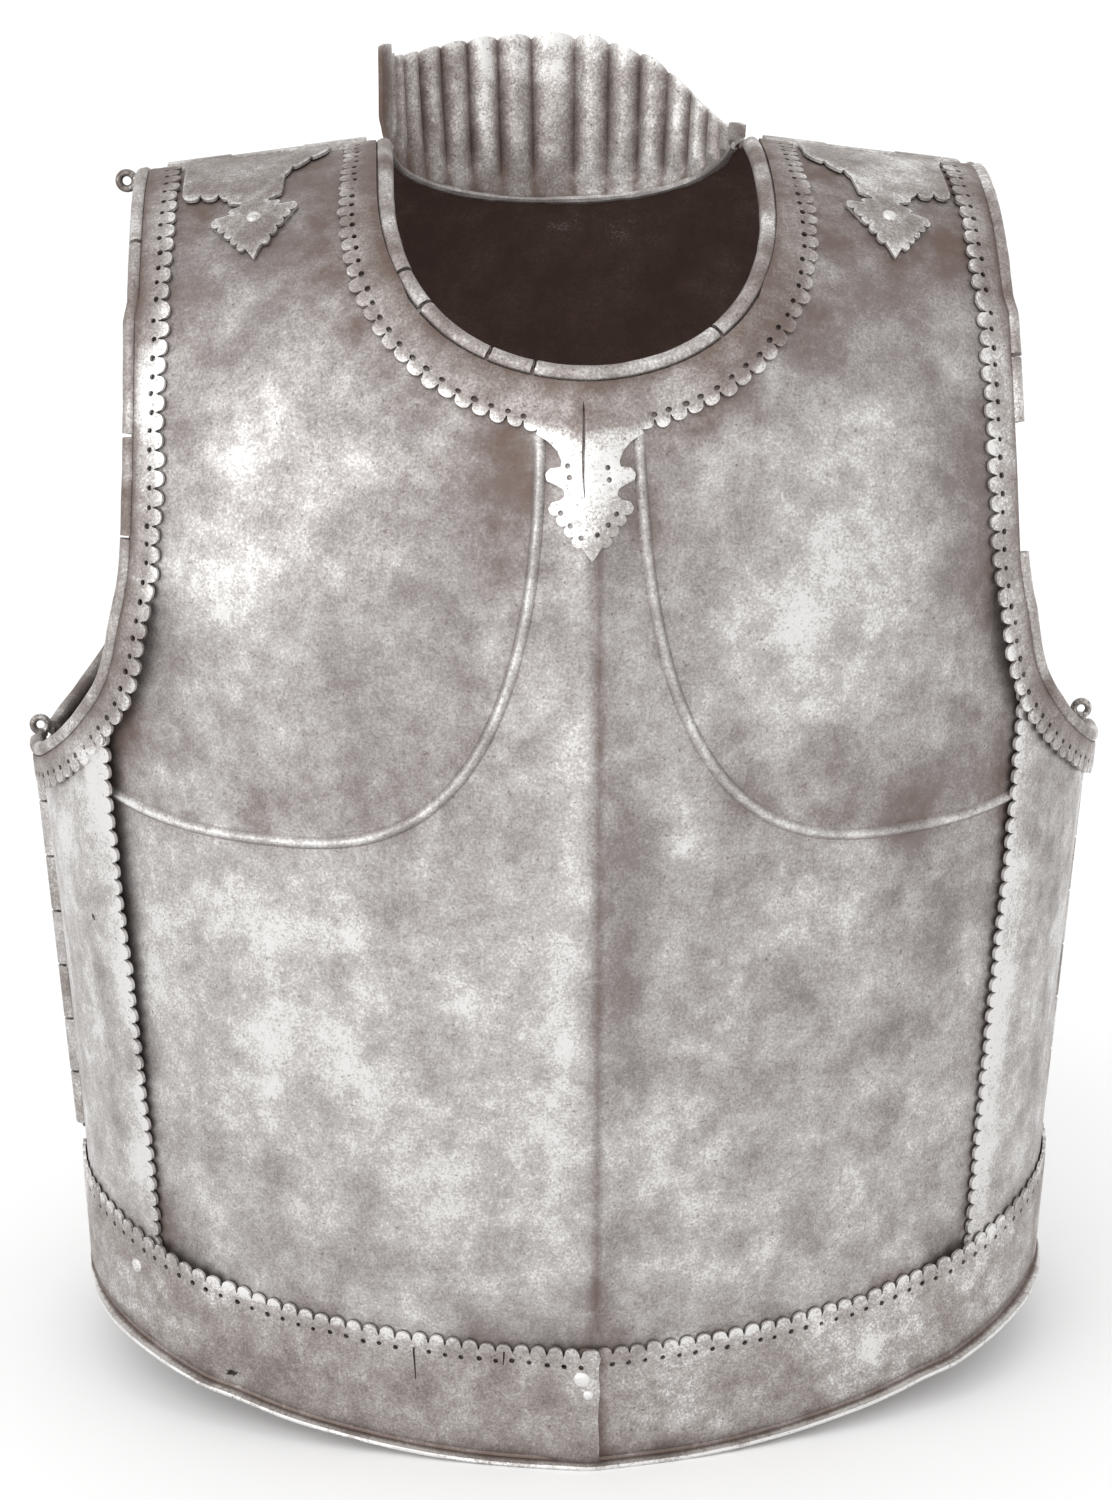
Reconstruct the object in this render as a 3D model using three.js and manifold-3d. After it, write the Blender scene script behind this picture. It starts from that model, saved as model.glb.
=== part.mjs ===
// A steel cuirass: a breastplate with embossed pectorals and a keel, side panels, a backplate with a
// fluted collar, scalloped borders and bound edges. Pin hinges join the halves at sides and shoulders.
// Millimetres, +Z up, the front faces -Y, left and right are as seen from the front.
import * as THREE from "three";
import { mergeVertices } from "three/addons/utils/BufferGeometryUtils.js";
import Module from "manifold-3d";

const wasm = await Module();
wasm.setup();

// Driving dimensions
const PLATE = 1.6; // thickness of the large plates
const BAND = 1.4; // thickness of the applied borders
const GAP = 0.6; // room between a plate and what is riveted over it
const SECTION_POWER = 2.15; // how boxy a horizontal section is, 2 being an ellipse
const SHOULDER_START = 300; // height where the plates begin to curve over the shoulders
const RIDGE_INNER = { x: 64, z: 451.5 }; // shoulder line beside the neck
const RIDGE_OUTER = { x: 153, z: 440.5 }; // shoulder line beside the arm
const RIDGE_LEVEL = 0.955; // plates stop here, short of the hinge barrel on the ridge
const RIM_DIP = { drop: 29, power: 1.8, flat: 0.12 }; // the rim hangs lower at front and back, flat there
const FRAME_SHIFT = 8.8; // moves the body back, so that the origin is under the middle of its depth
const PLATE_FLOOR = 3.5; // plates end this far above the rim, clear of the waist band's flange
const KEEL = { height: 9, spread: 92, power: 1.6 };
const BREAST_EDGE = 0.885; // where the breastplate ends under a side panel, as a share of the half width

// Horizontal sections of the body, from the floor up
const SECTIONS = [
  { z: 0, halfWidth: 180, front: 122, back: 108 },
  { z: 75, halfWidth: 183, front: 125, back: 110 },
  { z: 150, halfWidth: 187, front: 128, back: 113 },
  { z: 235, halfWidth: 193, front: 128, back: 118 },
  { z: 300, halfWidth: 196, front: 124, back: 120 },
];

// Front view of the arm opening: distance from the middle at each height
const ARM_EDGE = [
  { z: 460, left: 149.5, right: 146.5 },
  { z: 380, left: 150.5, right: 147.5 },
  { z: 320, left: 153.5, right: 150 },
  { z: 285, left: 159, right: 155 },
  { z: 262, left: 170.5, right: 167 },
  { z: 242, left: 186.5, right: 185 },
  { z: 234, left: 195, right: 195 },
];

// Neck openings, as half ovals in front view: the front one deep, the back one shallow
const NECK = {
  front: { halfWidth: 65, centre: 440, depth: 55, power: 2.2 },
  back: { halfWidth: 63, centre: 448.5, depth: 24, power: 2.2 },
};

// The pectoral outline is the lower half of an oval with unequal sides
const PEC = { x: 105, z: 390, inner: 89, outer: 130, depth: 163, power: 2.7, bulge: 5, soft: 45 };
const PEC_BEAD = { radius: 2.8, sink: 1.2, sides: 3, steps: 9, from: 352, to: 0.575 };

const BINDING = { radius: 3.3, sides: 6, gap: 0.4 };
const SCALLOP = { pitch: 6, depth: 3.2, places: [0, 0.5] };
const ARM_BAND = { width: 11, overPanel: 4, from: 290, to: 320 };
const NECK_BAND = { top: 11, bottom: 18 };
const WAIST_BAND = { front: 43, side: 72, power: 2.6, overPanel: 2.9, end: 2.4 };
const FLANGE = { reach: 4.5, end: 0.3, lip: 1.6 };
const SIDE_PANEL = { columns: 4, rows: 6 };
const PANEL_EDGE = {
  left: { share: 0.84, stand: 2.6, top: 270 },
  right: { share: 0.785, stand: 0.8, top: 277 },
};

// Half of the fleur under the neck band, from its root to its tip
const PENDANT = [
  { x: 14, z: 367 },
  { x: 9.5, z: 362 },
  { x: 9.5, z: 359 },
  { x: 14, z: 357 },
  { x: 14, z: 353 },
  { x: 9.2, z: 351 },
  { x: 14, z: 346 },
  { x: 14.5, z: 342 },
  { x: 11, z: 339 },
  { x: 10, z: 335 },
  { x: 5.5, z: 333 },
  { x: 0, z: 327 },
];

// Half of the leaf on a shoulder plate in top view, from its root to its tip
const LEAF = [
  { x: 9, y: 0 },
  { x: 9, y: -3 },
  { x: 4.5, y: -5 },
  { x: 8, y: -7 },
  { x: 15, y: -8 },
  { x: 16, y: -12 },
  { x: 12, y: -15 },
  { x: 11, y: -18 },
  { x: 6, y: -20 },
  { x: 0, y: -26 },
];

const HINGE = { barrel: 3.8, pin: 1.6, clearance: 0.4, edge: 4.4, root: 4, sides: 6 };
const SIDE_HINGE = { low: 80, high: 232, rise: 2.6, knuckles: 7, gap: 0.8, strap: 16 };
const SHOULDER_HINGE = { inner: 70, outer: 142, rise: -2, knuckles: 3, gap: 1.5 };
const SHOULDER_PLATE = {
  left: { inner: 84, outer: 134, innerFront: -12, outerFront: -35, root: -42, back: 30 },
  right: { inner: 82, outer: 131, innerFront: -22, outerFront: -37, root: -44, back: 30 },
};
const SHOULDER_PIN = { before: 8, left: 8, right: -2 };
const PIN_LOOP = { radius: 2.8, wire: 1.3, stem: 4, rings: 4, steps: 8 };
const COLLAR = { height: 59, leftEnd: 34, rightEnd: 6, arch: 2.5, overlap: 6, lean: 0.1 };
const FLUTE = { count: 17, columns: 2, depth: 1.8, lobe: 2 };

// Body surface

const lerp = THREE.MathUtils.lerp;
const smooth = (low, high, value) => THREE.MathUtils.smoothstep(value, low, high);
const range = (count) => Array.from({ length: count + 1 }, (_, i) => i / count);
const power = (value, exponent) => Math.sign(value) * Math.abs(value) ** exponent;

// A smooth value of one column of a table at a value of another column
function between(rows, key, by, value) {
  const last = rows.length - 1;
  const list = rows[0][by] < rows[last][by] ? rows : [...rows].reverse();
  if (value <= list[0][by]) return list[0][key];
  if (value >= list[last][by]) return list[last][key];
  const i = list.findIndex((row, k) => k < last && value <= list[k + 1][by]);
  const slope = (k) => {
    const a = list[Math.max(k - 1, 0)];
    const b = list[Math.min(k + 1, last)];
    return (b[key] - a[key]) / (b[by] - a[by]);
  };
  const step = list[i + 1][by] - list[i][by];
  const t = (value - list[i][by]) / step;
  const start = list[i][key] * (1 + 2 * t) + slope(i) * step * t;
  const end = list[i + 1][key] * (3 - 2 * t) + slope(i + 1) * step * (t - 1);
  return start * (1 - t) ** 2 + end * t * t;
}

const halfWidth = (z) => between(SECTIONS, "halfWidth", "z", z);

function ridgeHeight(x) {
  const slope = (RIDGE_OUTER.z - RIDGE_INNER.z) / (RIDGE_OUTER.x - RIDGE_INNER.x);
  return RIDGE_INNER.z + slope * (Math.abs(x) - RIDGE_INNER.x);
}

// 1 on the pectoral outline, less inside it
function pecReach(x, z) {
  const across = Math.abs(x) - PEC.x;
  const u = Math.abs(across) / (across < 0 ? PEC.inner : PEC.outer);
  const v = Math.max(PEC.z - z, 0) / PEC.depth;
  return (u ** PEC.power + v ** PEC.power) ** (1 / PEC.power);
}

function relief(x, z) {
  const keel = KEEL.height * Math.max(1 - Math.abs(x) / KEEL.spread, 0) ** KEEL.power;
  const pec = PEC.bulge * smooth(0, PEC.soft, (1 - pecReach(x, z)) * PEC.inner);
  return keel + pec;
}

// angle: 0 in the middle of the half, 90 degrees at the side; level: -1 floor, 0 shoulder start, 1 ridge
function bodyPoint(half, angle, level) {
  const section = SHOULDER_START * (1 + Math.min(level, 0));
  const x = halfWidth(section) * power(Math.sin(angle), 2 / SECTION_POWER);
  const turn = (Math.max(level, 0) * Math.PI) / 2;
  const z = section + (ridgeHeight(x) - SHOULDER_START) * Math.sin(turn);
  const plan = Math.cos(turn) * power(Math.cos(angle), 2 / SECTION_POWER);
  const depth = plan * between(SECTIONS, half, "z", section);
  if (half === "back") return new THREE.Vector3(x, depth, z);
  return new THREE.Vector3(x, -depth - relief(x, z) * smooth(0, 0.6, plan), z);
}

// The angle at which a share of the half width is reached
const angleAt = (share) => Math.asin(power(share, SECTION_POWER / 2));

// The angle at which a half comes within a distance of the hinge plane
const angleNear = (half, distance) =>
  Math.acos((distance / between(SECTIONS, half, "z", 150)) ** (SECTION_POWER / 2));

function levelAt(x, z) {
  if (z <= SHOULDER_START) return z / SHOULDER_START - 1;
  const share = (z - SHOULDER_START) / (ridgeHeight(x) - SHOULDER_START);
  return (Math.asin(Math.min(share, 1)) * 2) / Math.PI;
}

// A point of the body at an angle and level, moved out along the surface normal
function skin(half, angle, level, offset) {
  const step = 0.002;
  const across = bodyPoint(half, angle + step, level).sub(bodyPoint(half, angle - step, level));
  const along = bodyPoint(half, angle, level + step).sub(bodyPoint(half, angle, level - step));
  const normal = across.cross(along).normalize();
  return bodyPoint(half, angle, level).addScaledVector(normal, half === "front" ? offset : -offset);
}

// The same, from a place in front view
function skinAt(half, x, z, offset) {
  const share = x / halfWidth(Math.min(z, SHOULDER_START));
  return skin(half, angleAt(share), levelAt(x, z), offset);
}

// The point of the body nearest to a point close to it
function onto(half, point, offset) {
  const section = Math.min(point.z, SHOULDER_START);
  const depth = between(SECTIONS, half, "z", section);
  const reach = Math.abs(point.y);
  const raised = half === "front" ? relief(point.x, point.z) * smooth(0, 0.6, reach / depth) : 0;
  const flat = Math.max(reach - raised, 0) / depth;
  const share = point.x / halfWidth(section);
  const level = levelAt(point.x, point.z);
  if (level < 0.5) {
    const turn = Math.cos((Math.max(level, 0) * Math.PI) / 2);
    const u = Math.abs(share) ** (SECTION_POWER / 2);
    const v = (flat / turn) ** (SECTION_POWER / 2);
    return skin(half, Math.sign(share) * Math.atan2(u, v), level, offset);
  }
  const angle = angleAt(share);
  const plan = Math.cos(angle) ** (2 / SECTION_POWER);
  return skin(half, angle, (Math.acos(Math.min(flat / plan, 1)) * 2) / Math.PI, offset);
}

const rimHeight = (angle) => {
  const share = (Math.abs(Math.sin(angle)) - RIM_DIP.flat) / (1 - RIM_DIP.flat);
  return RIM_DIP.drop * Math.max(share, 0) ** RIM_DIP.power;
};
const levelOf = (z) => z / SHOULDER_START - 1;

// Solids

// Triangles between two rows of points that may have different counts
function zip(a, b, add) {
  let i = 0;
  let j = 0;
  while (i < a.length - 1 || j < b.length - 1) {
    const nextA = (i + 1) / (a.length - 1);
    const nextB = (j + 1) / (b.length - 1);
    if (j === b.length - 1 || (i < a.length - 1 && nextA <= nextB)) {
      add(a[i], a[i + 1], b[j]);
      i += 1;
    } else {
      add(a[i], b[j + 1], b[j]);
      j += 1;
    }
  }
}

// A closed sheet from rows of outer points and matching rows of inner points
function sheet(outer, inner) {
  const points = [];
  const add = (a, b, c) => points.push(a, b, c);
  const flip = (a, b, c) => points.push(a, c, b);
  const last = outer.length - 1;
  for (let k = 0; k < last; k++) {
    zip(outer[k], outer[k + 1], add);
    zip(inner[k], inner[k + 1], flip);
    const ends = [outer[k], outer[k + 1], inner[k + 1], inner[k]];
    const [a, b, c, d] = ends.map((row) => row[0]);
    add(a, b, c);
    add(a, c, d);
    const [e, f, g, h] = ends.map((row) => row[row.length - 1]);
    flip(e, f, g);
    flip(e, g, h);
  }
  zip(inner[0], outer[0], add);
  zip(outer[last], inner[last], add);
  return solid(new THREE.BufferGeometry().setFromPoints(points));
}

// A closed geometry as a solid with its faces pointing out
function solid(geometry) {
  const bare = new THREE.BufferGeometry().setAttribute("position", geometry.getAttribute("position"));
  if (geometry.index) bare.setIndex(geometry.index);
  const merged = mergeVertices(bare, 1e-4);
  const vertProperties = merged.getAttribute("position").array;
  const triVerts = new Uint32Array(merged.index.array);
  const make = () => new wasm.Manifold(new wasm.Mesh({ numProp: 3, vertProperties, triVerts }));
  const made = make();
  if (made.volume() > 0) return made;
  for (let i = 0; i < triVerts.length; i += 3) {
    [triVerts[i + 1], triVerts[i + 2]] = [triVerts[i + 2], triVerts[i + 1]];
  }
  return make();
}

function geometryOf(made) {
  const mesh = made.getMesh();
  const geometry = new THREE.BufferGeometry();
  geometry.setAttribute("position", new THREE.BufferAttribute(new Float32Array(mesh.vertProperties), 3));
  geometry.setIndex(new THREE.BufferAttribute(new Uint32Array(mesh.triVerts), 1));
  geometry.computeVertexNormals();
  return geometry;
}

// A straight prism of a front-view outline, through the whole depth of one half
function frontPrism(half, outline) {
  const depth = 280;
  const past = 20;
  const shape = new THREE.Shape(outline.map((p) => new THREE.Vector2(p.x, p.z)));
  const geometry = new THREE.ExtrudeGeometry(shape, { depth, bevelEnabled: false, steps: 1 });
  geometry.rotateX(Math.PI / 2);
  geometry.translate(0, half === "back" ? depth - past : past, 0);
  return solid(geometry);
}

// A straight prism of a top-view outline, through the shoulder
function topPrism(outline) {
  const shape = new THREE.Shape(outline.map((p) => new THREE.Vector2(p.x, p.y)));
  const geometry = new THREE.ExtrudeGeometry(shape, { depth: 200, bevelEnabled: false, steps: 1 });
  geometry.translate(0, 0, SHOULDER_START);
  return solid(geometry);
}

// A round bar along a path
function tube(path, radius, sides, steps) {
  const corners = range(sides).slice(0, -1).map((t) => t * 2 * Math.PI);
  const ring = new THREE.Shape(
    corners.map((turn) => new THREE.Vector2(radius * Math.cos(turn), radius * Math.sin(turn))),
  );
  return solid(new THREE.ExtrudeGeometry(ring, { extrudePath: path, steps, bevelEnabled: false }));
}

// A round bar between two points
function bar(from, to, radius) {
  const axis = to.clone().sub(from);
  const geometry = new THREE.CylinderGeometry(radius, radius, axis.length(), HINGE.sides, 1);
  geometry.rotateY(Math.PI / HINGE.sides);
  const up = new THREE.Vector3(0, 1, 0);
  geometry.applyQuaternion(new THREE.Quaternion().setFromUnitVectors(up, axis.normalize()));
  geometry.translate(...from.clone().add(to).multiplyScalar(0.5).toArray());
  return solid(geometry);
}

// A block with its sides along three given directions
function block(centre, directions, sizes) {
  const geometry = new THREE.BoxGeometry(...sizes);
  geometry.applyMatrix4(new THREE.Matrix4().makeBasis(...directions).setPosition(centre));
  return solid(geometry);
}

const steel = (color, roughness) => new THREE.MeshStandardMaterial({ color, roughness, metalness: 0.8 });

const cuirass = new THREE.Group();
function put(name, made, color, roughness) {
  const geometry = geometryOf(made).translate(0, FRAME_SHIFT, 0);
  const mesh = new THREE.Mesh(geometry, steel(color, roughness));
  mesh.name = name;
  cuirass.add(mesh);
}

const PLATE_COLOR = [0xb4aeab, 0.5];
const BORDER_COLOR = [0xc6c1bd, 0.45];
const HINGE_COLOR = [0x8d8480, 0.55];
const SIDES = [
  { side: -1, word: "left" },
  { side: 1, word: "right" },
];

// Edges of the openings

// The neck opening in front view, moved out by a margin, from the right round to the left
function neckCurve(half, margin, count) {
  const neck = NECK[half];
  return range(count).map((t) => ({
    x: (neck.halfWidth + margin) * power(Math.cos(t * Math.PI), 2 / neck.power),
    z: neck.centre - (neck.depth + margin) * power(Math.sin(t * Math.PI), 2 / neck.power),
  }));
}

function neckCut(half, margin, count) {
  const curve = neckCurve(half, margin, count);
  const above = 520;
  return frontPrism(half, [{ x: curve[0].x, z: above }, ...curve, { x: curve[count].x, z: above }]);
}

const wordOf = (side) => (side < 0 ? "left" : "right");
const armX = (side, z) => between(ARM_EDGE, wordOf(side), "z", z);

// Everything on the arm's side of the arm edge, moved in by a margin
function armCut(half, side, margin) {
  const high = ARM_EDGE[0].z;
  const low = ARM_EDGE.at(-1).z;
  const edge = range(10).map((t) => {
    const z = lerp(high, low, 1 - (1 - t) ** 1.7);
    return { x: side * (armX(side, z) - margin), z: z - margin };
  });
  const outside = side * 260;
  const above = 520;
  return frontPrism(half, [
    { x: edge[0].x, z: above },
    ...edge,
    { x: outside, z: edge.at(-1).z },
    { x: outside, z: above },
  ]);
}

const RIDGE_STEPS = [RIDGE_LEVEL, 0.88, 0.76, 0.6, 0.45, 0.3, 0.15];
const EDGE_CUT = BINDING.radius + BINDING.gap;
const EDGE_DEPTH = -PLATE / 2;

// The line the arm binding follows, from the ridge down to the side hinge
function armPath(half, side) {
  const shoulder = RIDGE_STEPS.map((level) => {
    const z = lerp(SHOULDER_START, RIDGE_OUTER.z, Math.sin((level * Math.PI) / 2));
    const share = armX(side, z) / halfWidth(SHOULDER_START);
    return skin(half, side * angleAt(share), level, EDGE_DEPTH);
  });
  const start = angleAt(armX(side, SHOULDER_START) / halfWidth(SHOULDER_START));
  const end = angleNear(half, HINGE.edge + 2);
  const arm = range(9).map((t) => {
    const angle = lerp(start, end, t);
    const share = Math.sin(angle) ** (2 / SECTION_POWER);
    const width = halfWidth(lerp(SHOULDER_START, ARM_EDGE.at(-1).z, t));
    const z = between(ARM_EDGE, "z", wordOf(side), share * width);
    return skin(half, side * angle, levelOf(z), EDGE_DEPTH);
  });
  return new THREE.CatmullRomCurve3([...shoulder, ...arm], false, "centripetal");
}

// The line the neck binding follows, from the right shoulder round to the left
function neckPath() {
  const curve = neckCurve("front", 0, 18).map((p) => skinAt("front", p.x, p.z, EDGE_DEPTH));
  const top = NECK.front.halfWidth / halfWidth(SHOULDER_START);
  const upper = (side, level) => skin("front", side * angleAt(top), level, EDGE_DEPTH);
  const right = [upper(1, RIDGE_LEVEL), upper(1, 0.85)];
  const left = [upper(-1, 0.85), upper(-1, RIDGE_LEVEL)];
  return new THREE.CatmullRomCurve3([...right, ...curve, ...left], false, "centripetal");
}

// How far a scallop stands out at a place along it
const lobe = (place) => SCALLOP.depth * Math.sqrt(1 - (2 * place - 1) ** 2);

// Places along an edge, and how far the scallops stand out there
function scallops(length) {
  const count = Math.round(length / SCALLOP.pitch);
  const list = [];
  for (let i = 0; i < count; i++) {
    for (const place of SCALLOP.places) list.push({ t: (i + place) / count, out: lobe(place) });
  }
  return [...list, { t: 1, out: 0 }];
}

// A border along an edge: a plain side next to the binding and a scalloped side away from it
function border(path, turn, width, lift, steps) {
  const spot = (t, distance, offset) => {
    const point = path.getPointAt(t);
    const normal = onto("front", point, 1).sub(onto("front", point, 0));
    const away = normal.cross(path.getTangentAt(t)).normalize().multiplyScalar(turn * distance);
    const moved = point.clone().add(away);
    return onto("front", moved, offset + lift(moved));
  };
  const plain = range(steps).map((t) => ({ t, out: 0 }));
  const lobes = scallops(path.getLength());
  const rows = (offset) => [
    plain.map(({ t }) => spot(t, EDGE_CUT, offset)),
    plain.map(({ t }) => spot(t, (EDGE_CUT + width(t)) / 2, offset)),
    lobes.map(({ t, out }) => spot(t, width(t) + out, offset)),
  ];
  return sheet(rows(BAND), rows(0));
}

// Hinges

// A hinge line between two points, with the direction that points out of the body
function hingeLine(from, to, outward, sizes) {
  const along = to.clone().sub(from).normalize();
  const across = new THREE.Vector3(0, 1, 0);
  const out = across.clone().cross(along).normalize();
  if (out.dot(outward) < 0) out.negate();
  return { from, to, along, across, out, ...sizes };
}

// The barrels of one leaf with the tongues that carry them; an open leaf has slots to slide off the pin
function leaf(line, first, toward, thickness, open) {
  const { from, to, along, across, out, rise, knuckles, gap } = line;
  const pitch = from.distanceTo(to) / knuckles;
  const axes = [along, across, out];
  const bore = HINGE.pin + HINGE.clearance;
  const parts = [];
  for (let i = first; i < knuckles; i += 2) {
    const start = from.clone().addScaledVector(along, i * pitch + gap / 2);
    const end = from.clone().addScaledVector(along, (i + 1) * pitch - gap / 2);
    const middle = start.clone().add(end).multiplyScalar(0.5);
    const length = HINGE.edge + HINGE.root;
    const tongue = middle
      .clone()
      .addScaledVector(out, GAP + thickness / 2 - rise)
      .addScaledVector(across, (toward * length) / 2);
    let knuckle = bar(start, end, HINGE.barrel);
    knuckle = knuckle.add(block(tongue, axes, [pitch - gap, length, thickness]));
    const past = along.clone().multiplyScalar(2);
    knuckle = knuckle.subtract(bar(start.clone().sub(past), end.clone().add(past), bore));
    if (open) {
      const slot = middle.clone().addScaledVector(across, -toward * HINGE.barrel);
      knuckle = knuckle.subtract(block(slot, axes, [pitch, HINGE.barrel * 2, bore * 2]));
    }
    parts.push(knuckle);
  }
  return parts;
}

// A pin through a hinge line, with or without a wire loop at its far end
function pin(line, before, after, looped) {
  const { from, to, along, out } = line;
  const start = from.clone().addScaledVector(along, -before);
  const end = to.clone().addScaledVector(along, after + PIN_LOOP.stem);
  if (!looped) return bar(start, end, HINGE.pin);
  const loop = new THREE.TorusGeometry(PIN_LOOP.radius, PIN_LOOP.wire, PIN_LOOP.rings, PIN_LOOP.steps);
  const third = along.clone().cross(out);
  const centre = end.clone().addScaledVector(along, PIN_LOOP.radius - PIN_LOOP.wire / 2);
  loop.applyMatrix4(new THREE.Matrix4().makeBasis(along, out, third).setPosition(centre));
  return bar(start, end, HINGE.pin).add(solid(loop));
}

const join = (parts) => parts.reduce((whole, part) => whole.add(part));

function sideLine(side) {
  const place = (z) => new THREE.Vector3(side * (halfWidth(z) + SIDE_HINGE.rise), 0, z);
  const outward = new THREE.Vector3(side, 0, 0);
  return hingeLine(place(SIDE_HINGE.low), place(SIDE_HINGE.high), outward, SIDE_HINGE);
}

function shoulderLine(side) {
  const place = (x) => new THREE.Vector3(side * x, 0, ridgeHeight(x) + SHOULDER_HINGE.rise);
  const up = new THREE.Vector3(0, 0, 1);
  return hingeLine(place(SHOULDER_HINGE.inner), place(SHOULDER_HINGE.outer), up, SHOULDER_HINGE);
}

// Large plates

const BREAST_LEVELS = [-1, -0.8, -0.6, -0.42, -0.28, -0.15, 0, 0.14, 0.28, 0.42, 0.56, 0.7, 0.83];
const BACK_LEVELS = [-1, -0.87, -0.74, -0.5, -0.25, 0, 0.2, 0.4, 0.6, 0.78];

// A plate between two offsets from the body, its lowest row following the rim
function plate(half, angles, levels, low, high) {
  const rows = (offset) =>
    angles.map((angle) =>
      [...levels, RIDGE_LEVEL].map((level) => {
        const drop = 1 - (PLATE_FLOOR + rimHeight(angle)) / SHOULDER_START;
        return skin(half, angle, level < 0 ? level * drop : level, offset);
      }),
    );
  return sheet(rows(high), rows(low));
}

// The raised bead along a pectoral's edge, from under the neck band down and out to the side
function pecBead(side) {
  const start = Math.asin(((PEC.z - PEC_BEAD.from) / PEC.depth) ** (PEC.power / 2));
  const points = range(PEC_BEAD.steps).map((t) => {
    const turn = lerp(start, PEC_BEAD.to * Math.PI, t);
    const reach = turn < Math.PI / 2 ? PEC.inner : PEC.outer;
    const x = PEC.x - reach * power(Math.cos(turn), 2 / PEC.power);
    const z = PEC.z - PEC.depth * power(Math.sin(turn), 2 / PEC.power);
    return skinAt("front", side * x, z, -PEC_BEAD.sink);
  });
  const path = new THREE.CatmullRomCurve3(points);
  return tube(path, PEC_BEAD.radius, PEC_BEAD.sides, PEC_BEAD.steps);
}

const breastAngles = range(18).map((t) => angleAt(lerp(-BREAST_EDGE, BREAST_EDGE, t)));
let breast = plate("front", breastAngles, BREAST_LEVELS, -PLATE, 0);
for (const { side } of SIDES) {
  breast = breast.add(pecBead(side));
  breast = breast.subtract(armCut("front", side, EDGE_CUT));
}
breast = breast.subtract(neckCut("front", EDGE_CUT, 20));
put("breast_plate", breast, ...PLATE_COLOR);

const backEnd = angleNear("back", HINGE.edge);
let back = plate("back", range(24).map((t) => lerp(-backEnd, backEnd, t)), BACK_LEVELS, -PLATE, 0);
for (const { side } of SIDES) back = back.subtract(armCut("back", side, EDGE_CUT));
back = back.subtract(neckCut("back", 0, 14));
put("back_plate", back, ...PLATE_COLOR);

// Side panels, hinged to the back at their rear edges

function sidePanel(side, word) {
  const { share, stand, top } = PANEL_EDGE[word];
  const start = angleAt(share);
  const end = angleNear("front", HINGE.edge);
  const low = PLATE_FLOOR + rimHeight(start);
  const edge = scallops(top - low).map(({ t, out }) => ({ z: lerp(low, top, t), out }));
  const lift = (z) => stand * smooth(40, 220, z) * (1 - 0.6 * smooth(235, 275, z));
  const rows = (offset) =>
    range(SIDE_PANEL.columns).map((t) => {
      const angle = lerp(start, end, t);
      const rise = (z) => offset + lift(z) * (1 - smooth(0, 0.5, t));
      if (t === 0) {
        return edge.map(({ z, out }) => {
          const tip = share - (0.77 * out) / halfWidth(z);
          return skin("front", side * angleAt(tip), levelOf(z), rise(z));
        });
      }
      return range(SIDE_PANEL.rows).map((v) => {
        const z = lerp(PLATE_FLOOR + rimHeight(angle), top, v);
        return skin("front", side * angle, levelOf(z), rise(z));
      });
    });
  return sheet(rows(GAP + PLATE), rows(GAP)).subtract(armCut("front", side, EDGE_CUT));
}

for (const { side, word } of SIDES) {
  const open = side > 0;
  const knuckles = leaf(sideLine(side), 1, -1, PLATE, open);
  put(`side_panel_${word}`, join([sidePanel(side, word), ...knuckles]), ...PLATE_COLOR);
}

// Borders and bindings

const neckLine = neckPath();
const neckWidth = (t) => lerp(NECK_BAND.top, NECK_BAND.bottom, Math.sin(t * Math.PI) ** 2);
const onPlate = () => GAP;
const pendantOutline = [...PENDANT, ...PENDANT.slice(0, -1).reverse().map((p) => ({ x: -p.x, z: p.z }))];
const pendantAngles = [-16, -8, 0, 8, 16].map((x) => angleAt(x / halfWidth(SHOULDER_START)));
const pendantLevels = [0.08, 0.18, 0.28, 0.38];
const pendantRows = (offset) =>
  pendantAngles.map((angle) => pendantLevels.map((level) => skin("front", angle, level, offset)));
const pendantSheet = sheet(pendantRows(GAP + BAND), pendantRows(GAP));
const pendant = pendantSheet.intersect(frontPrism("front", pendantOutline));
put("neck_band", border(neckLine, 1, neckWidth, onPlate, 24).add(pendant), ...BORDER_COLOR);
put("neck_binding", tube(neckLine, BINDING.radius, BINDING.sides, 24), ...BORDER_COLOR);

for (const { side, word } of SIDES) {
  const line = armPath("front", side);
  const lift = (p) => lerp(ARM_BAND.overPanel, GAP, smooth(ARM_BAND.from, ARM_BAND.to, p.z));
  put(`arm_band_${word}`, border(line, -side, () => ARM_BAND.width, lift, 18), ...BORDER_COLOR);
  put(`arm_binding_front_${word}`, tube(line, BINDING.radius, BINDING.sides, 15), ...BORDER_COLOR);
  const backLine = armPath("back", side);
  put(`arm_binding_back_${word}`, tube(backLine, BINDING.radius, BINDING.sides, 15), ...BORDER_COLOR);
}

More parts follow.
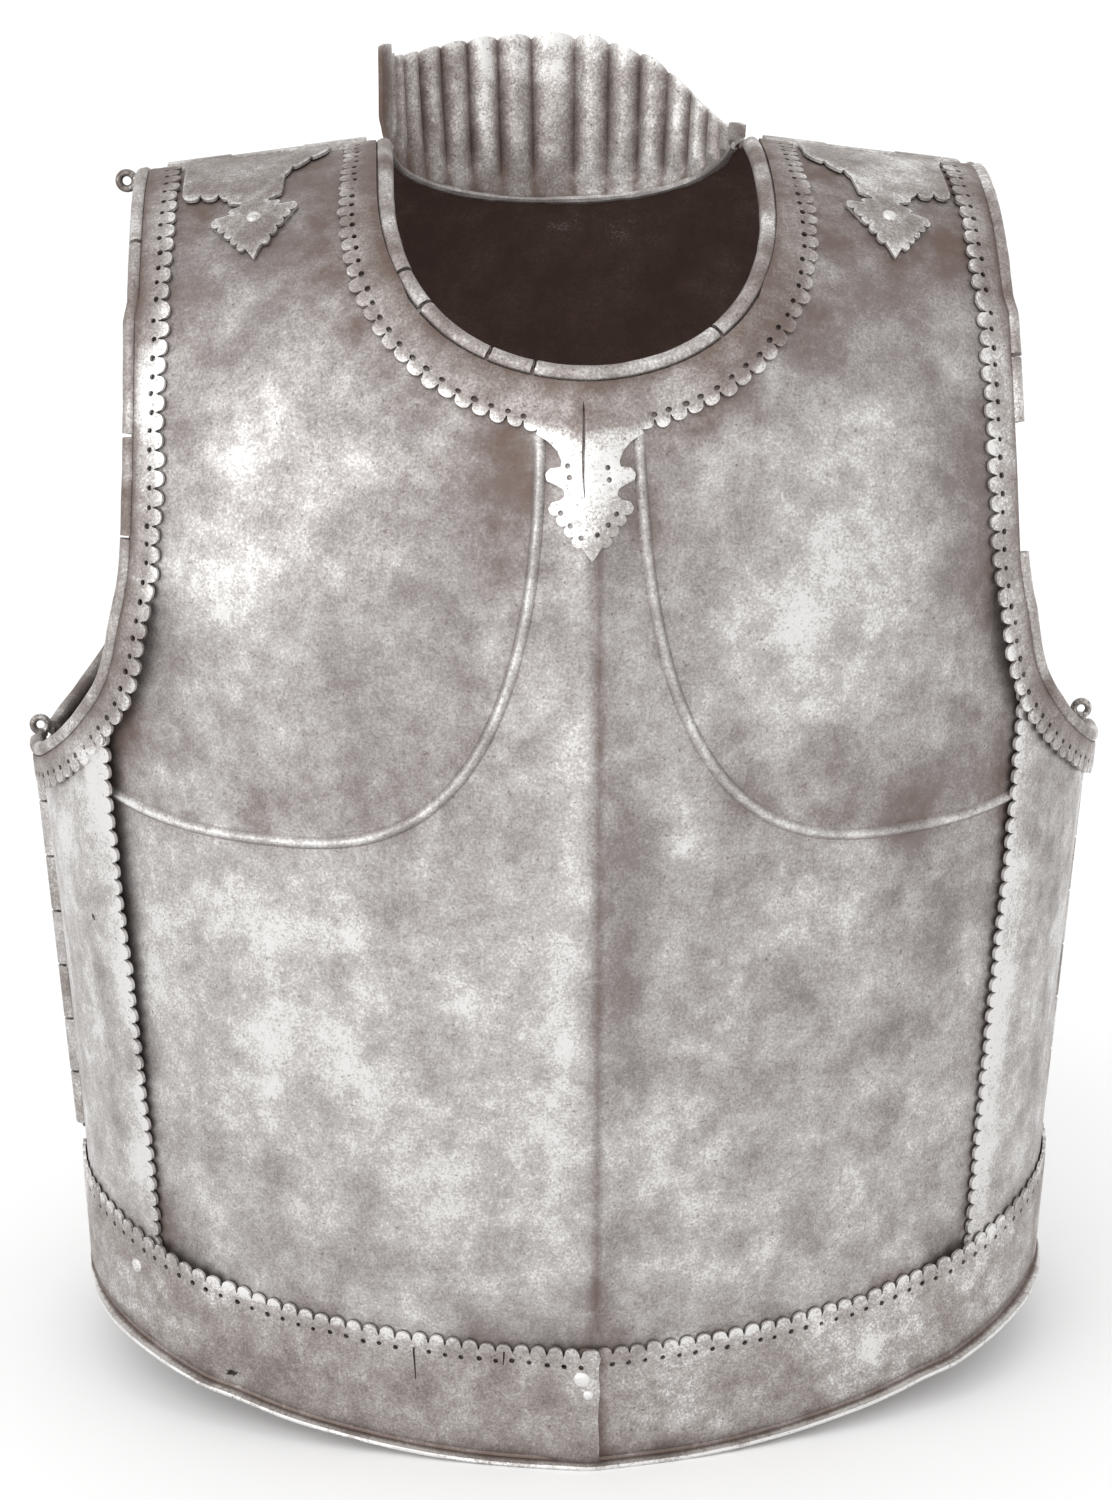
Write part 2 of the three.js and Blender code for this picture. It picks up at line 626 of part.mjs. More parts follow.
// A band round the waist with scallops above and a turned-out rim below
function waistBand(half) {
  const end = angleNear(half, WAIST_BAND.end);
  const girth = end * (halfWidth(0) + between(SECTIONS, half, "z", 0)) * 1.08;
  const over = half === "front" ? WAIST_BAND.overPanel : 2 * GAP;
  const lift = (angle) => lerp(GAP, over, smooth(0.7, 0.82, Math.abs(angle)));
  const top = (angle) =>
    lerp(WAIST_BAND.front, WAIST_BAND.side, Math.abs(Math.sin(angle)) ** WAIST_BAND.power);
  const coarse = range(half === "front" ? 28 : 36).map((t) => ({ t, out: 0 }));
  const fine = half === "front" ? scallops(girth) : coarse;
  const turned = (t) => power(lerp(-1, 1, t), 1.12) * end;
  const row = (list, height, offset) =>
    list.map(({ t, out }) => {
      const angle = turned(t);
      const z = height(angle) + out;
      return skin(half, angle, levelOf(z), offset(angle) + lift(angle)).setZ(z);
    });
  const reach = (angle) =>
    lerp(FLANGE.reach, FLANGE.end, smooth(1.1, 1.5, Math.abs(angle)));
  const corner = (angle) => rimHeight(angle) + FLANGE.lip;
  const outer = [
    row(fine, top, () => BAND),
    row(coarse, corner, () => BAND),
    row(coarse, corner, (angle) => BAND + reach(angle)),
  ];
  const inner = [
    row(fine, top, () => 0),
    row(coarse, rimHeight, () => 0),
    row(coarse, rimHeight, (angle) => BAND + reach(angle)),
  ];
  return sheet(outer, inner);
}

put("waist_band_front", waistBand("front"), ...BORDER_COLOR);
put("waist_band_back", waistBand("back"), ...BORDER_COLOR);

// Hinge plates on the shoulders and hinge straps on the back's sides

// The scalloped front edge of a shoulder plate in top view, with its leaf in the middle
function leafEdge({ inner, outer, innerFront, outerFront, root }) {
  const middle = (inner + outer) / 2;
  const neck = LEAF[0].x + 1;
  const lobes = scallops(outer - inner);
  const edge = lobes.map(({ t, out }) => {
    const y = lerp(root, t < 0.5 ? innerFront : outerFront, Math.abs(2 * t - 1));
    return { x: lerp(inner, outer, t), y: y - out };
  });
  const near = LEAF.map((p) => ({ x: middle - p.x, y: root + p.y }));
  const far = LEAF.slice(0, -1).reverse().map((p) => ({ x: middle + p.x, y: root + p.y }));
  return [
    ...edge.filter((p) => p.x < middle - neck),
    ...near,
    ...far,
    ...edge.filter((p) => p.x > middle + neck),
  ];
}

function shoulderPlate(half, side) {
  const plate = SHOULDER_PLATE[wordOf(side)];
  const { inner, outer, back } = plate;
  const ends = [
    { x: outer, y: 0 },
    { x: inner, y: 0 },
  ];
  const plain = [
    { x: inner, y: back },
    { x: outer, y: back },
  ];
  const outline = [...ends, ...(half === "front" ? leafEdge(plate) : plain)];
  const placed = outline.map((p) => ({ x: side * p.x, y: p.y }));
  const shoulder = halfWidth(SHOULDER_START);
  const angles = range(5).map((t) => side * angleAt(lerp(inner - 4, outer + 4, t) / shoulder));
  const levels = [0.42, 0.56, 0.7, 0.83, RIDGE_LEVEL];
  const rows = (offset) => angles.map((angle) => levels.map((level) => skin(half, angle, level, offset)));
  return sheet(rows(GAP + BAND), rows(GAP)).intersect(topPrism(placed));
}

for (const { side, word } of SIDES) {
  const line = shoulderLine(side);
  const frontLeaf = leaf(line, 1, -1, BAND, true);
  const backLeaf = leaf(line, 0, 1, BAND, false);
  put(`shoulder_hinge_front_${word}`, join([shoulderPlate("front", side), ...frontLeaf]), ...HINGE_COLOR);
  put(`shoulder_hinge_back_${word}`, join([shoulderPlate("back", side), ...backLeaf]), ...HINGE_COLOR);
  put(`shoulder_pin_${word}`, pin(line, SHOULDER_PIN.before, SHOULDER_PIN[word], side < 0), ...HINGE_COLOR);

  const sideHinge = sideLine(side);
  const near = angleNear("back", HINGE.edge);
  const far = angleNear("back", HINGE.edge + SIDE_HINGE.strap);
  const heights = range(3).map((t) => lerp(SIDE_HINGE.low, SIDE_HINGE.high, t));
  const strapRows = (offset) =>
    [near, (near + far) / 2, far].map((angle) =>
      heights.map((z) => skin("back", side * angle, levelOf(z), offset)),
    );
  const strap = sheet(strapRows(GAP + PLATE), strapRows(GAP));
  put(`side_hinge_back_${word}`, join([strap, ...leaf(sideHinge, 0, 1, PLATE, false)]), ...HINGE_COLOR);
  put(`side_pin_${word}`, pin(sideHinge, 2, 1, true), ...HINGE_COLOR);
}

// The collar stands on the outside of the back's neck edge, its flutes fanning up to a lobed top

function collar() {
  const columns = FLUTE.count * FLUTE.columns;
  const curve = neckCurve("back", 0.5, columns);
  const base = curve.map((p) => skinAt("back", p.x, p.z, GAP));
  const outerBase = curve.map((p) => skinAt("back", p.x, p.z, GAP + BAND));
  const skirt = (offset) => curve.map((p) => skinAt("back", p.x, p.z - COLLAR.overlap, offset));
  const facing = base.map((p, i) => {
    const next = base[Math.min(i + 1, columns)];
    const last = base[Math.max(i - 1, 0)];
    return new THREE.Vector3(-(next.y - last.y), next.x - last.x, 0).normalize().negate();
  });
  const height = (i) => {
    const share = curve[i].x / curve[0].x;
    const end = share < 0 ? COLLAR.leftEnd : COLLAR.rightEnd;
    const arch = lerp(COLLAR.height, end, Math.abs(share) ** COLLAR.arch);
    return arch + FLUTE.lobe * Math.abs(Math.sin((i / FLUTE.columns) * Math.PI));
  };
  const raised = (v, out) =>
    base.map((p, i) => {
      const h = v * height(i);
      const flute = FLUTE.depth * Math.cos((i / FLUTE.columns) * 2 * Math.PI) * smooth(0.05, 0.3, v);
      const lean = COLLAR.lean * h * Math.abs(facing[i].y);
      const moved = p.clone().addScaledVector(facing[i], out + flute + lean);
      return moved.setZ(p.z + h);
    });
  const outer = [skirt(GAP + BAND), outerBase, raised(0.25, BAND), raised(1, BAND)];
  const inner = [skirt(GAP), base, raised(0.25, 0), raised(1, 0)];
  return sheet(outer, inner);
}

put("collar", collar(), ...BORDER_COLOR);

export default cuirass;
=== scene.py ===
"""The looks of a steel cuirass: embossed plates, scalloped borders, rolled edges, hinges and a fluted collar.

Shapes are worked out in millimetres with the front facing -Y, and turned into metres when a piece is made.
"""

import math

import bmesh
import bpy
import numpy as np
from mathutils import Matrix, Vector
from mathutils.geometry import delaunay_2d_cdt


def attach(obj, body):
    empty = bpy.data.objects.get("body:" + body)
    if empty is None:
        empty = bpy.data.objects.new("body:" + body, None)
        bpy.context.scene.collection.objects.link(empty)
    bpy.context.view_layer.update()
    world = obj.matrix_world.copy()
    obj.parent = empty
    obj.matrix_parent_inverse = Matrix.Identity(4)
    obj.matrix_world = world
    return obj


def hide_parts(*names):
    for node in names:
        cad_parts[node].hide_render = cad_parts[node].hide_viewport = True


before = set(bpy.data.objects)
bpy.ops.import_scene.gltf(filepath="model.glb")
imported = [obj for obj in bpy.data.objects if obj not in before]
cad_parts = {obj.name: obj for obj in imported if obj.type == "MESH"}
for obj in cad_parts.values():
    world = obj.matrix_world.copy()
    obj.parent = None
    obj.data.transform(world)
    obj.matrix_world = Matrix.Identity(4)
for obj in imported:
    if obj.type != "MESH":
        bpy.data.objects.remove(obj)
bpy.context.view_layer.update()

# Driving dimensions, in millimetres
METRE = 0.001
FRAME_SHIFT = 8.8  # the body's own middle lies this far in front of the frame's
PLATE = 1.6
BAND = 1.4
GAP = 0.6
SECTION_POWER = 2.15
SHOULDER_START = 300.0
RIDGE_INNER = {"x": 64.0, "z": 451.5}
RIDGE_OUTER = {"x": 153.0, "z": 440.5}
RIDGE_LEVEL = 0.955
RIM_DIP = {"drop": 29.0, "power": 1.8, "flat": 0.12}
PLATE_FLOOR = 3.5
KEEL = {"height": 9.0, "spread": 92.0, "power": 1.6}
BREAST_EDGE = 0.885
SECTIONS = {
    "z": [0, 75, 150, 235, 300],
    "half_width": [180, 183, 187, 193, 196],
    "front": [122, 125, 128, 128, 124],
    "back": [108, 110, 113, 118, 120],
}
ARM_EDGE = {
    "z": [460, 380, 320, 285, 262, 242, 234],
    "left": [149.5, 150.5, 153.5, 159, 170.5, 186.5, 195],
    "right": [146.5, 147.5, 150, 155, 167, 185, 195],
}
NECK = {
    "front": {"half_width": 65.0, "centre": 440.0, "depth": 55.0, "power": 2.2},
    "back": {"half_width": 63.0, "centre": 448.5, "depth": 24.0, "power": 2.2},
}
PEC = {"x": 105.0, "z": 390.0, "inner": 89.0, "outer": 130.0, "depth": 163.0, "power": 2.7}
PEC_BULGE = {"height": 5.0, "soft": 45.0}
PEC_BEAD = {"half_width": 2.3, "height": 1.7, "from": 372.0, "to": 0.64, "sink": 0.12, "root": 0.9}
ROLL = {"radius": 3.0, "arm_radius": 2.7, "sides": 14, "step": 2.2}
EDGE_DEPTH = -PLATE / 2
SCALLOP = {"pitch": 6.0, "depth": 3.3, "share": 0.95, "hole_in": 1.7, "hole_radius": 0.95}
ARM_BAND = {"width": 11.0, "over_panel": 4.0, "from": 290.0, "to": 320.0}
NECK_BAND = {"top": 11.0, "bottom": 18.0, "pitch": 4.9}
WAIST_BAND = {"front": 43.0, "side": 72.0, "power": 2.6, "over_panel": 2.9, "end": 2.4, "hole_in": 3.4}
FLANGE = {"reach": 4.5, "end": 0.3, "lip": 1.6}
PANEL_EDGE = {
    "left": {"share": 0.84, "stand": 2.6, "top": 270.0},
    "right": {"share": 0.785, "stand": 0.8, "top": 277.0},
}
HINGE = {"barrel": 3.8, "pin": 1.6, "bore": 2.0, "edge": 4.4, "root": 4.0, "sides": 20}
SIDE_HINGE = {"low": 80.0, "high": 232.0, "rise": 2.6, "knuckles": 7, "gap": 0.8, "strap": 16.0}
SHOULDER_HINGE = {"inner": 70.0, "outer": 142.0, "rise": -2.0, "knuckles": 3, "gap": 1.5}
SHOULDER_PLATE = {
    "left": {"inner": 84.0, "outer": 134.0, "inner_front": -12.0, "outer_front": -35.0, "root": -42.0},
    "right": {"inner": 82.0, "outer": 131.0, "inner_front": -22.0, "outer_front": -37.0, "root": -44.0},
}
SHOULDER_BACK = 30.0
SHOULDER_TOP = 440.0  # about the height of the shoulder plates
SHOULDER_PIN = {"before": 8.0, "left": 8.0, "right": -2.0}
PIN_LOOP = {"radius": 2.8, "wire": 1.3, "stem": 4.0}
COLLAR = {"height": 59.0, "left_end": 34.0, "right_end": 6.0, "arch": 2.5, "overlap": 6.0, "lean": 0.1}
FLUTE = {"count": 17, "columns": 10, "depth": 1.8, "lobe": 2.4}
DENT = {"height": 0.35, "size": 34.0}
SIDES = {"left": -1, "right": 1}
SHEET_STEP = {"border": 2.0, "panel": 3.0, "waist": 3.0, "shoulder": 1.8, "strap": 4.0}
BORDER_START = 2.6  # from the middle of a roll to the plain edge of its border
LOBE_WEAR = (-0.8, 1.8)  # the lobes turn bright between these distances past the edge


# Numbers

def lerp(a, b, t):
    return a + (b - a) * t


def power(value, exponent):
    return np.sign(value) * np.abs(value) ** exponent


def smooth(low, high, value):
    t = np.clip((value - low) / (high - low), 0, 1)
    return t * t * (3 - 2 * t)


def between(table, key, by, value):
    """A smooth value of one column of a table at a value of another column."""
    order = np.argsort(table[by])
    xs = np.array(table[by], float)[order]
    ys = np.array(table[key], float)[order]
    count = len(xs)
    before = np.maximum(np.arange(count) - 1, 0)
    after = np.minimum(np.arange(count) + 1, count - 1)
    slope = (ys[after] - ys[before]) / (xs[after] - xs[before])
    v = np.clip(value, xs[0], xs[-1])
    i = np.clip(np.searchsorted(xs, v) - 1, 0, count - 2)
    step = xs[i + 1] - xs[i]
    t = (v - xs[i]) / step
    start = ys[i] * (1 + 2 * t) + slope[i] * step * t
    end = ys[i + 1] * (3 - 2 * t) + slope[i + 1] * step * (t - 1)
    return start * (1 - t) ** 2 + end * t * t


def lattice(cells, seed):
    """A repeatable number from 0 to 1 for each whole-numbered cell."""
    mix = cells[..., 0] * 374761393 + cells[..., 1] * 668265263 + cells[..., 2] * 2147483647 + seed * 144269
    mix = (mix ^ (mix >> 13)) * 1274126177
    return ((mix ^ (mix >> 16)) & 0xFFFF) / 0xFFFF


def wobble(points, size, seed=0):
    """Smooth noise from -1 to 1 over points in space."""
    at = np.asarray(points, float) / size
    cell = np.floor(at).astype(np.int64)
    t = at - cell
    t = t * t * (3 - 2 * t)
    total = 0.0
    for corner in np.ndindex(2, 2, 2):
        weight = np.prod(np.where(np.array(corner) == 1, t, 1 - t), axis=-1)
        total = total + weight * lattice(cell + np.array(corner), seed)
    return 2 * total - 1


# Body surface

def half_width(z):
    return between(SECTIONS, "half_width", "z", z)


def ridge_height(x):
    slope = (RIDGE_OUTER["z"] - RIDGE_INNER["z"]) / (RIDGE_OUTER["x"] - RIDGE_INNER["x"])
    return RIDGE_INNER["z"] + slope * (np.abs(x) - RIDGE_INNER["x"])


def pec_reach(x, z):
    """1 on the pectoral outline, less inside it."""
    across = np.abs(x) - PEC["x"]
    u = np.abs(across) / np.where(across < 0, PEC["inner"], PEC["outer"])
    v = np.maximum(PEC["z"] - z, 0) / PEC["depth"]
    return (u ** PEC["power"] + v ** PEC["power"]) ** (1 / PEC["power"])


def relief(x, z):
    keel = KEEL["height"] * np.maximum(1 - np.abs(x) / KEEL["spread"], 0) ** KEEL["power"]
    inside = (1 - pec_reach(x, z)) * PEC["inner"]
    return keel + PEC_BULGE["height"] * smooth(0, PEC_BULGE["soft"], inside)


def body_point(half, angle, level):
    """angle: 0 in the middle of the half; level: -1 at the floor, 0 at the shoulder start, 1 at the ridge."""
    section = SHOULDER_START * (1 + np.minimum(level, 0))
    x = half_width(section) * power(np.sin(angle), 2 / SECTION_POWER)
    turn = np.maximum(level, 0) * np.pi / 2
    z = section + (ridge_height(x) - SHOULDER_START) * np.sin(turn)
    plan = np.cos(turn) * power(np.cos(angle), 2 / SECTION_POWER)
    depth = plan * between(SECTIONS, half, "z", section)
    if half == "back":
        return np.stack([x, depth, z], -1)
    return np.stack([x, -depth - relief(x, z) * smooth(0, 0.6, plan), z], -1)


def skin(half, angle, level, offset=0.0):
    """A point of the body moved out along the surface normal, with the shallow dents of hammered plate."""
    angle, level, offset = np.broadcast_arrays(angle, level, np.asarray(offset, float))
    step = 0.002
    across = body_point(half, angle + step, level) - body_point(half, angle - step, level)
    along = body_point(half, angle, level + step) - body_point(half, angle, level - step)
    normal = np.cross(across, along)
    normal /= np.linalg.norm(normal, axis=-1, keepdims=True) * (1 if half == "front" else -1)
    point = body_point(half, angle, level)
    dent = DENT["height"] * wobble(point, DENT["size"], 3)
    return point + normal * (offset + dent)[..., None]


def angle_at(share):
    return np.arcsin(power(np.clip(share, -1, 1), SECTION_POWER / 2))


def angle_near(half, distance):
    return float(np.arccos((distance / between(SECTIONS, half, "z", 150)) ** (SECTION_POWER / 2)))


def level_at(x, z):
    share = np.clip((z - SHOULDER_START) / (ridge_height(x) - SHOULDER_START), 0, 1)
    return np.where(z <= SHOULDER_START, z / SHOULDER_START - 1, np.arcsin(share) * 2 / np.pi)


def level_of(z):
    return z / SHOULDER_START - 1


def skin_at(half, x, z, offset=0.0):
    share = x / half_width(np.minimum(z, SHOULDER_START))
    return skin(half, angle_at(share), level_at(x, z), offset)


def onto(half, point, offset=0.0):
    """The point of the body nearest to a point close to it."""
    x, y, z = point[..., 0], point[..., 1], point[..., 2]
    section = np.minimum(z, SHOULDER_START)
    depth = between(SECTIONS, half, "z", section)
    reach = np.abs(y)
    raised = relief(x, z) * smooth(0, 0.6, reach / depth) if half == "front" else 0
    flat = np.maximum(reach - raised, 0) / depth
    share = np.clip(x / half_width(section), -1, 1)
    level = level_at(x, z)
    turn = np.maximum(np.cos(np.maximum(level, 0) * np.pi / 2), 0.05)
    u = np.abs(share) ** (SECTION_POWER / 2)
    v = (flat / turn) ** (SECTION_POWER / 2)
    high_angle = angle_at(share)
    plan = np.maximum(np.cos(high_angle), 1e-3) ** (2 / SECTION_POWER)
    high_level = np.arccos(np.clip(flat / plan, 0, 1)) * 2 / np.pi
    low = level < 0.5
    angle = np.where(low, np.sign(share) * np.arctan2(u, v), high_angle)
    return skin(half, angle, np.where(low, level, high_level), offset)


def rim_height(angle):
    share = (np.abs(np.sin(angle)) - RIM_DIP["flat"]) / (1 - RIM_DIP["flat"])
    return RIM_DIP["drop"] * np.maximum(share, 0) ** RIM_DIP["power"]


def word_of(side):
    return "left" if side < 0 else "right"


def arm_x(side, z):
    left, right = (between(ARM_EDGE, word, "z", z) for word in SIDES)
    return np.where(np.asarray(side) < 0, left, right)


# Edges of the openings

class Path:
    """A line through many points, measured along its length."""

    def __init__(self, points):
        self.points = np.asarray(points, float)
        steps = np.linalg.norm(np.diff(self.points, axis=0), axis=1)
        self.lengths = np.concatenate([[0], np.cumsum(steps)])
        self.length = float(self.lengths[-1])

    def at(self, s):
        return np.stack([np.interp(s, self.lengths, self.points[:, k]) for k in range(3)], -1)

    def tangent(self, s, step=1.0):
        ahead = self.at(np.minimum(s + step, self.length))
        behind = self.at(np.maximum(s - step, 0))
        along = ahead - behind
        return along / np.linalg.norm(along, axis=-1, keepdims=True)


def arm_path(half, side):
    """From the ridge down round the arm opening to the side hinge."""
    level = np.linspace(RIDGE_LEVEL, 0, 50)[:-1]
    z = lerp(SHOULDER_START, RIDGE_OUTER["z"], np.sin(level * np.pi / 2))
    upper = skin(half, side * angle_at(arm_x(side, z) / half_width(SHOULDER_START)), level, EDGE_DEPTH)
    start = float(angle_at(arm_x(side, SHOULDER_START) / half_width(SHOULDER_START)))
    t = np.linspace(0, 1, 60)
    angle = lerp(start, angle_near(half, HINGE["edge"] + 2), t)
    share = np.sin(angle) ** (2 / SECTION_POWER)
    width = half_width(lerp(SHOULDER_START, ARM_EDGE["z"][-1], t))
    z = between(ARM_EDGE, "z", word_of(side), share * width)
    return Path(np.concatenate([upper, skin(half, side * angle, level_of(z), EDGE_DEPTH)]))


def neck_curve(half, margin, t):
    neck = NECK[half]
    x = (neck["half_width"] + margin) * power(np.cos(t * np.pi), 2 / neck["power"])
    z = neck["centre"] - (neck["depth"] + margin) * power(np.sin(t * np.pi), 2 / neck["power"])
    return x, z


def neck_path():
    """From the right shoulder round the front of the neck to the left shoulder."""
    x, z = neck_curve("front", 0, np.linspace(0, 1, 121))
    share = NECK["front"]["half_width"] / half_width(SHOULDER_START)
    level = np.linspace(RIDGE_LEVEL, 0.74, 12)
    right = skin("front", angle_at(share), level, EDGE_DEPTH)
    left = skin("front", -angle_at(share), level[::-1], EDGE_DEPTH)
    return Path(np.concatenate([right, skin_at("front", x, z, EDGE_DEPTH), left]))


# Meshes

def shape(verts, faces, inner=None, wear=None, grime=None):
    """A mesh in millimetres: which faces lie inside a sheet, how worn or lit by a painted highlight each
    vertex is, and how grimy or darkened by painted shade.
    """
    verts = np.asarray(verts, float).reshape(-1, 3)
    count = len(verts)
    return {
        "verts": verts,
        "faces": [tuple(int(i) for i in f) for f in faces],
        "inner": np.zeros(len(faces), int) if inner is None else np.asarray(inner, int),
        "wear": np.zeros(count) + (0 if wear is None else wear),
        "grime": np.zeros(count) + (0 if grime is None else grime),
    }


def joined(shapes):
    start = np.cumsum([0] + [len(s["verts"]) for s in shapes])
    faces = [tuple(i + start[k] for i in f) for k, s in enumerate(shapes) for f in s["faces"]]
    parts = {key: np.concatenate([s[key] for s in shapes]) for key in ("verts", "inner", "wear", "grime")}
    return shape(parts["verts"], faces, parts["inner"], parts["wear"], parts["grime"])


def border_sides(triangles):
    """The sides that belong to one triangle only."""
    sides = np.concatenate([triangles[:, [0, 1]], triangles[:, [1, 2]], triangles[:, [2, 0]]])
    _, first, times = np.unique(np.sort(sides, axis=1), axis=0, return_index=True, return_counts=True)
    return sides[first[times == 1]]


def on_border(triangles, count):
    """1 for each vertex on a border of the triangles, 0 for the others."""
    edge = np.zeros(count)
    edge[np.unique(border_sides(triangles))] = 1
    return edge


def thick_sheet(outer, inner, triangles, wear, grime):
    """A closed sheet from an outer and an inner surface that share their triangles."""
    count = len(outer)
    rim = border_sides(triangles)
    walls = np.column_stack([rim[:, 1], rim[:, 0], rim[:, 0] + count, rim[:, 1] + count])
    faces = [*triangles, *(triangles[:, ::-1] + count), *walls]
    inside = np.concatenate([np.zeros(len(triangles)), np.ones(len(triangles)), np.zeros(len(walls))])
    return shape(np.concatenate([outer, inner]), faces, inside, np.tile(wear, 2), np.tile(grime, 2))


def inside_loops(points, loops):
    """Whether each flat point lies inside an odd number of closed outlines."""
    result = np.zeros(len(points), bool)
    for loop in loops:
        ends = np.roll(loop, -1, axis=0)
        for (ax, ay), (bx, by) in zip(loop, ends):
            if ay == by:
                continue
            crosses = (points[:, 1] > ay) != (points[:, 1] > by)
            result ^= crosses & (points[:, 0] < ax + (points[:, 1] - ay) * (bx - ax) / (by - ay))
    return result


def clear_of(points, others, distance):
    """Which points keep a distance from all the other points."""
    keep = np.ones(len(points), bool)
    for k in range(0, len(others), 200):
        gaps = np.linalg.norm(points[:, None] - others[None, k : k + 200], axis=2)
        keep &= (gaps > distance).all(axis=1)
    return keep


def cut_flat(outline, holes, step):
    """A flat outline with holes, filled with triangles of about one size."""
    loops = [np.asarray(outline, float), *[np.asarray(h, float) for h in holes]]
    edge = np.concatenate(loops)
    low, high = loops[0].min(0), loops[0].max(0)
    gx, gy = np.meshgrid(np.arange(low[0], high[0], step), np.arange(low[1], high[1], step * 0.866))
    gx = gx + (np.arange(len(gy)) % 2)[:, None] * step / 2
    grid = np.column_stack([gx.ravel(), gy.ravel()])
    grid = grid[inside_loops(grid, loops)]
    grid = grid[clear_of(grid, edge, step * 0.55)]
    links = []
    start = 0
    for loop in loops:
        ring = np.arange(len(loop)) + start
        links += list(zip(ring.tolist(), np.roll(ring, -1).tolist()))
        start += len(loop)
    points = np.concatenate([edge, grid])
    made = delaunay_2d_cdt([Vector(p) for p in points], links, [], 0, 1e-5)
    flat = np.array([v[:] for v in made[0]])
    triangles = np.array([f for f in made[2] if len(f) == 3])
    triangles = triangles[inside_loops(flat[triangles].mean(axis=1), loops)]
    return flat, triangles


def cut_sheet(outline, holes, step, place, thickness=BAND, pillow=0.3, wear=None, grime=None, rim_wear=0.0):
    """A sheet cut to a flat outline and bent onto the body, its edges a little rounded."""
    flat, triangles = cut_flat(outline, holes, step)
    u, v = flat[:, 0], flat[:, 1]
    outer = place(u, v, thickness - pillow * on_border(triangles, len(flat)))
    inner = place(u, v, np.zeros(len(flat)))
    worn = np.zeros(len(flat)) if wear is None else wear(u, v)
    dirt_and_shade = np.zeros(len(flat)) if grime is None else grime(u, v)
    worn = worn + rim_wear * on_border(triangles, len(flat))
    return thick_sheet(outer, inner, triangles, worn, dirt_and_shade)


def grid_triangles(columns, rows):
    """Two triangles for each cell of a grid of points."""
    index = np.arange(columns * rows).reshape(columns, rows)
    quads = np.stack([index[:-1, :-1], index[1:, :-1], index[1:, 1:], index[:-1, 1:]], -1).reshape(-1, 4)
    return np.concatenate([quads[:, [0, 1, 2]], quads[:, [0, 2, 3]]])


def clipped_grid(columns, rows, keep):
    """Triangles of a grid in two parameters, cut along the line where keep passes zero."""
    a, b = np.meshgrid(columns, rows, indexing="ij")
    params = [tuple(p) for p in np.column_stack([a.ravel(), b.ravel()])]
    value = keep(a.ravel(), b.ravel())
    triangles = grid_triangles(*a.shape)
    good = value[triangles] >= 0
    whole = triangles[good.all(axis=1)].tolist()
    crossing = {}

    def cut(i, j):
        key = (min(i, j), max(i, j))
        if key not in crossing:
            t = value[key[0]] / (value[key[0]] - value[key[1]])
            p, q = params[key[0]], params[key[1]]
            crossing[key] = len(params)
            params.append((lerp(p[0], q[0], t), lerp(p[1], q[1], t)))
        return crossing[key]

    for triangle in triangles[good.any(axis=1) & ~good.all(axis=1)]:
        corners = []
        for i, j in zip(triangle, np.roll(triangle, -1)):
            if value[i] >= 0:
                corners.append(i)
            if (value[i] >= 0) != (value[j] >= 0):
                corners.append(cut(i, j))
        whole += [[corners[0], corners[k], corners[k + 1]] for k in range(1, len(corners) - 1)]
    whole = np.array(whole)
    used, compact = np.unique(whole, return_inverse=True)
    return np.array(params)[used], compact.reshape(-1, 3)


def rings_mesh(rings, wear=None, grime=None, closed=False):
    """A closed skin over rings of points, with flat ends unless it runs in a circle."""
    rings = np.asarray(rings, float)
    count, sides = rings.shape[:2]
    index = np.arange(count * sides).reshape(count, sides)
    if closed:
        index = np.concatenate([index, index[:1]])
    faces = []
    for a, b in zip(index[:-1], index[1:]):
        faces += list(zip(a, np.roll(a, -1), np.roll(b, -1), b))
    if not closed:
        faces += [tuple(index[0][::-1]), tuple(index[-1])]
    return shape(rings.reshape(-1, 3), faces, wear=wear, grime=grime)


def sideways(along, hint):
    """Two directions at right angles to a direction and to each other."""
    up = np.cross(along, hint)
    up /= np.linalg.norm(up, axis=-1, keepdims=True)
    return up, np.cross(along, up)


def circle(count):
    turn = np.arange(count) * 2 * np.pi / count
    return np.cos(turn), np.sin(turn)


def tube(path, radius, start, end, sides=ROLL["sides"], step=ROLL["step"], rough=0.05, seed=1, torn=0.0):
    """A round bar along part of a path, a little uneven, with torn ends where it is broken."""
    count = max(int((end - start) / step), 2)
    s = np.linspace(start, end, count)
    centre, along = path.at(s), path.tangent(s)
    up, across = sideways(along, [0.31, 0.22, 0.92])
    cos, sin = circle(sides)
    out = up[:, None] * cos[None, :, None] + across[:, None] * sin[None, :, None]
    rings = centre[:, None] + out * radius
    rings = rings + out * (radius * rough * wobble(rings, 5.0, seed))[..., None]
    for ring, sign in ((0, 1), (-1, -1)):
        tear = torn * (0.5 + 0.5 * wobble(rings[ring], 2.0, seed + 7))
        rings[ring] += sign * along[ring] * tear[:, None]
    shade = 0.3 + 0.45 * wobble(rings.reshape(-1, 3), 9.0, seed + 3)
    return rings_mesh(rings, wear=0.25, grime=np.clip(shade, 0, 1))


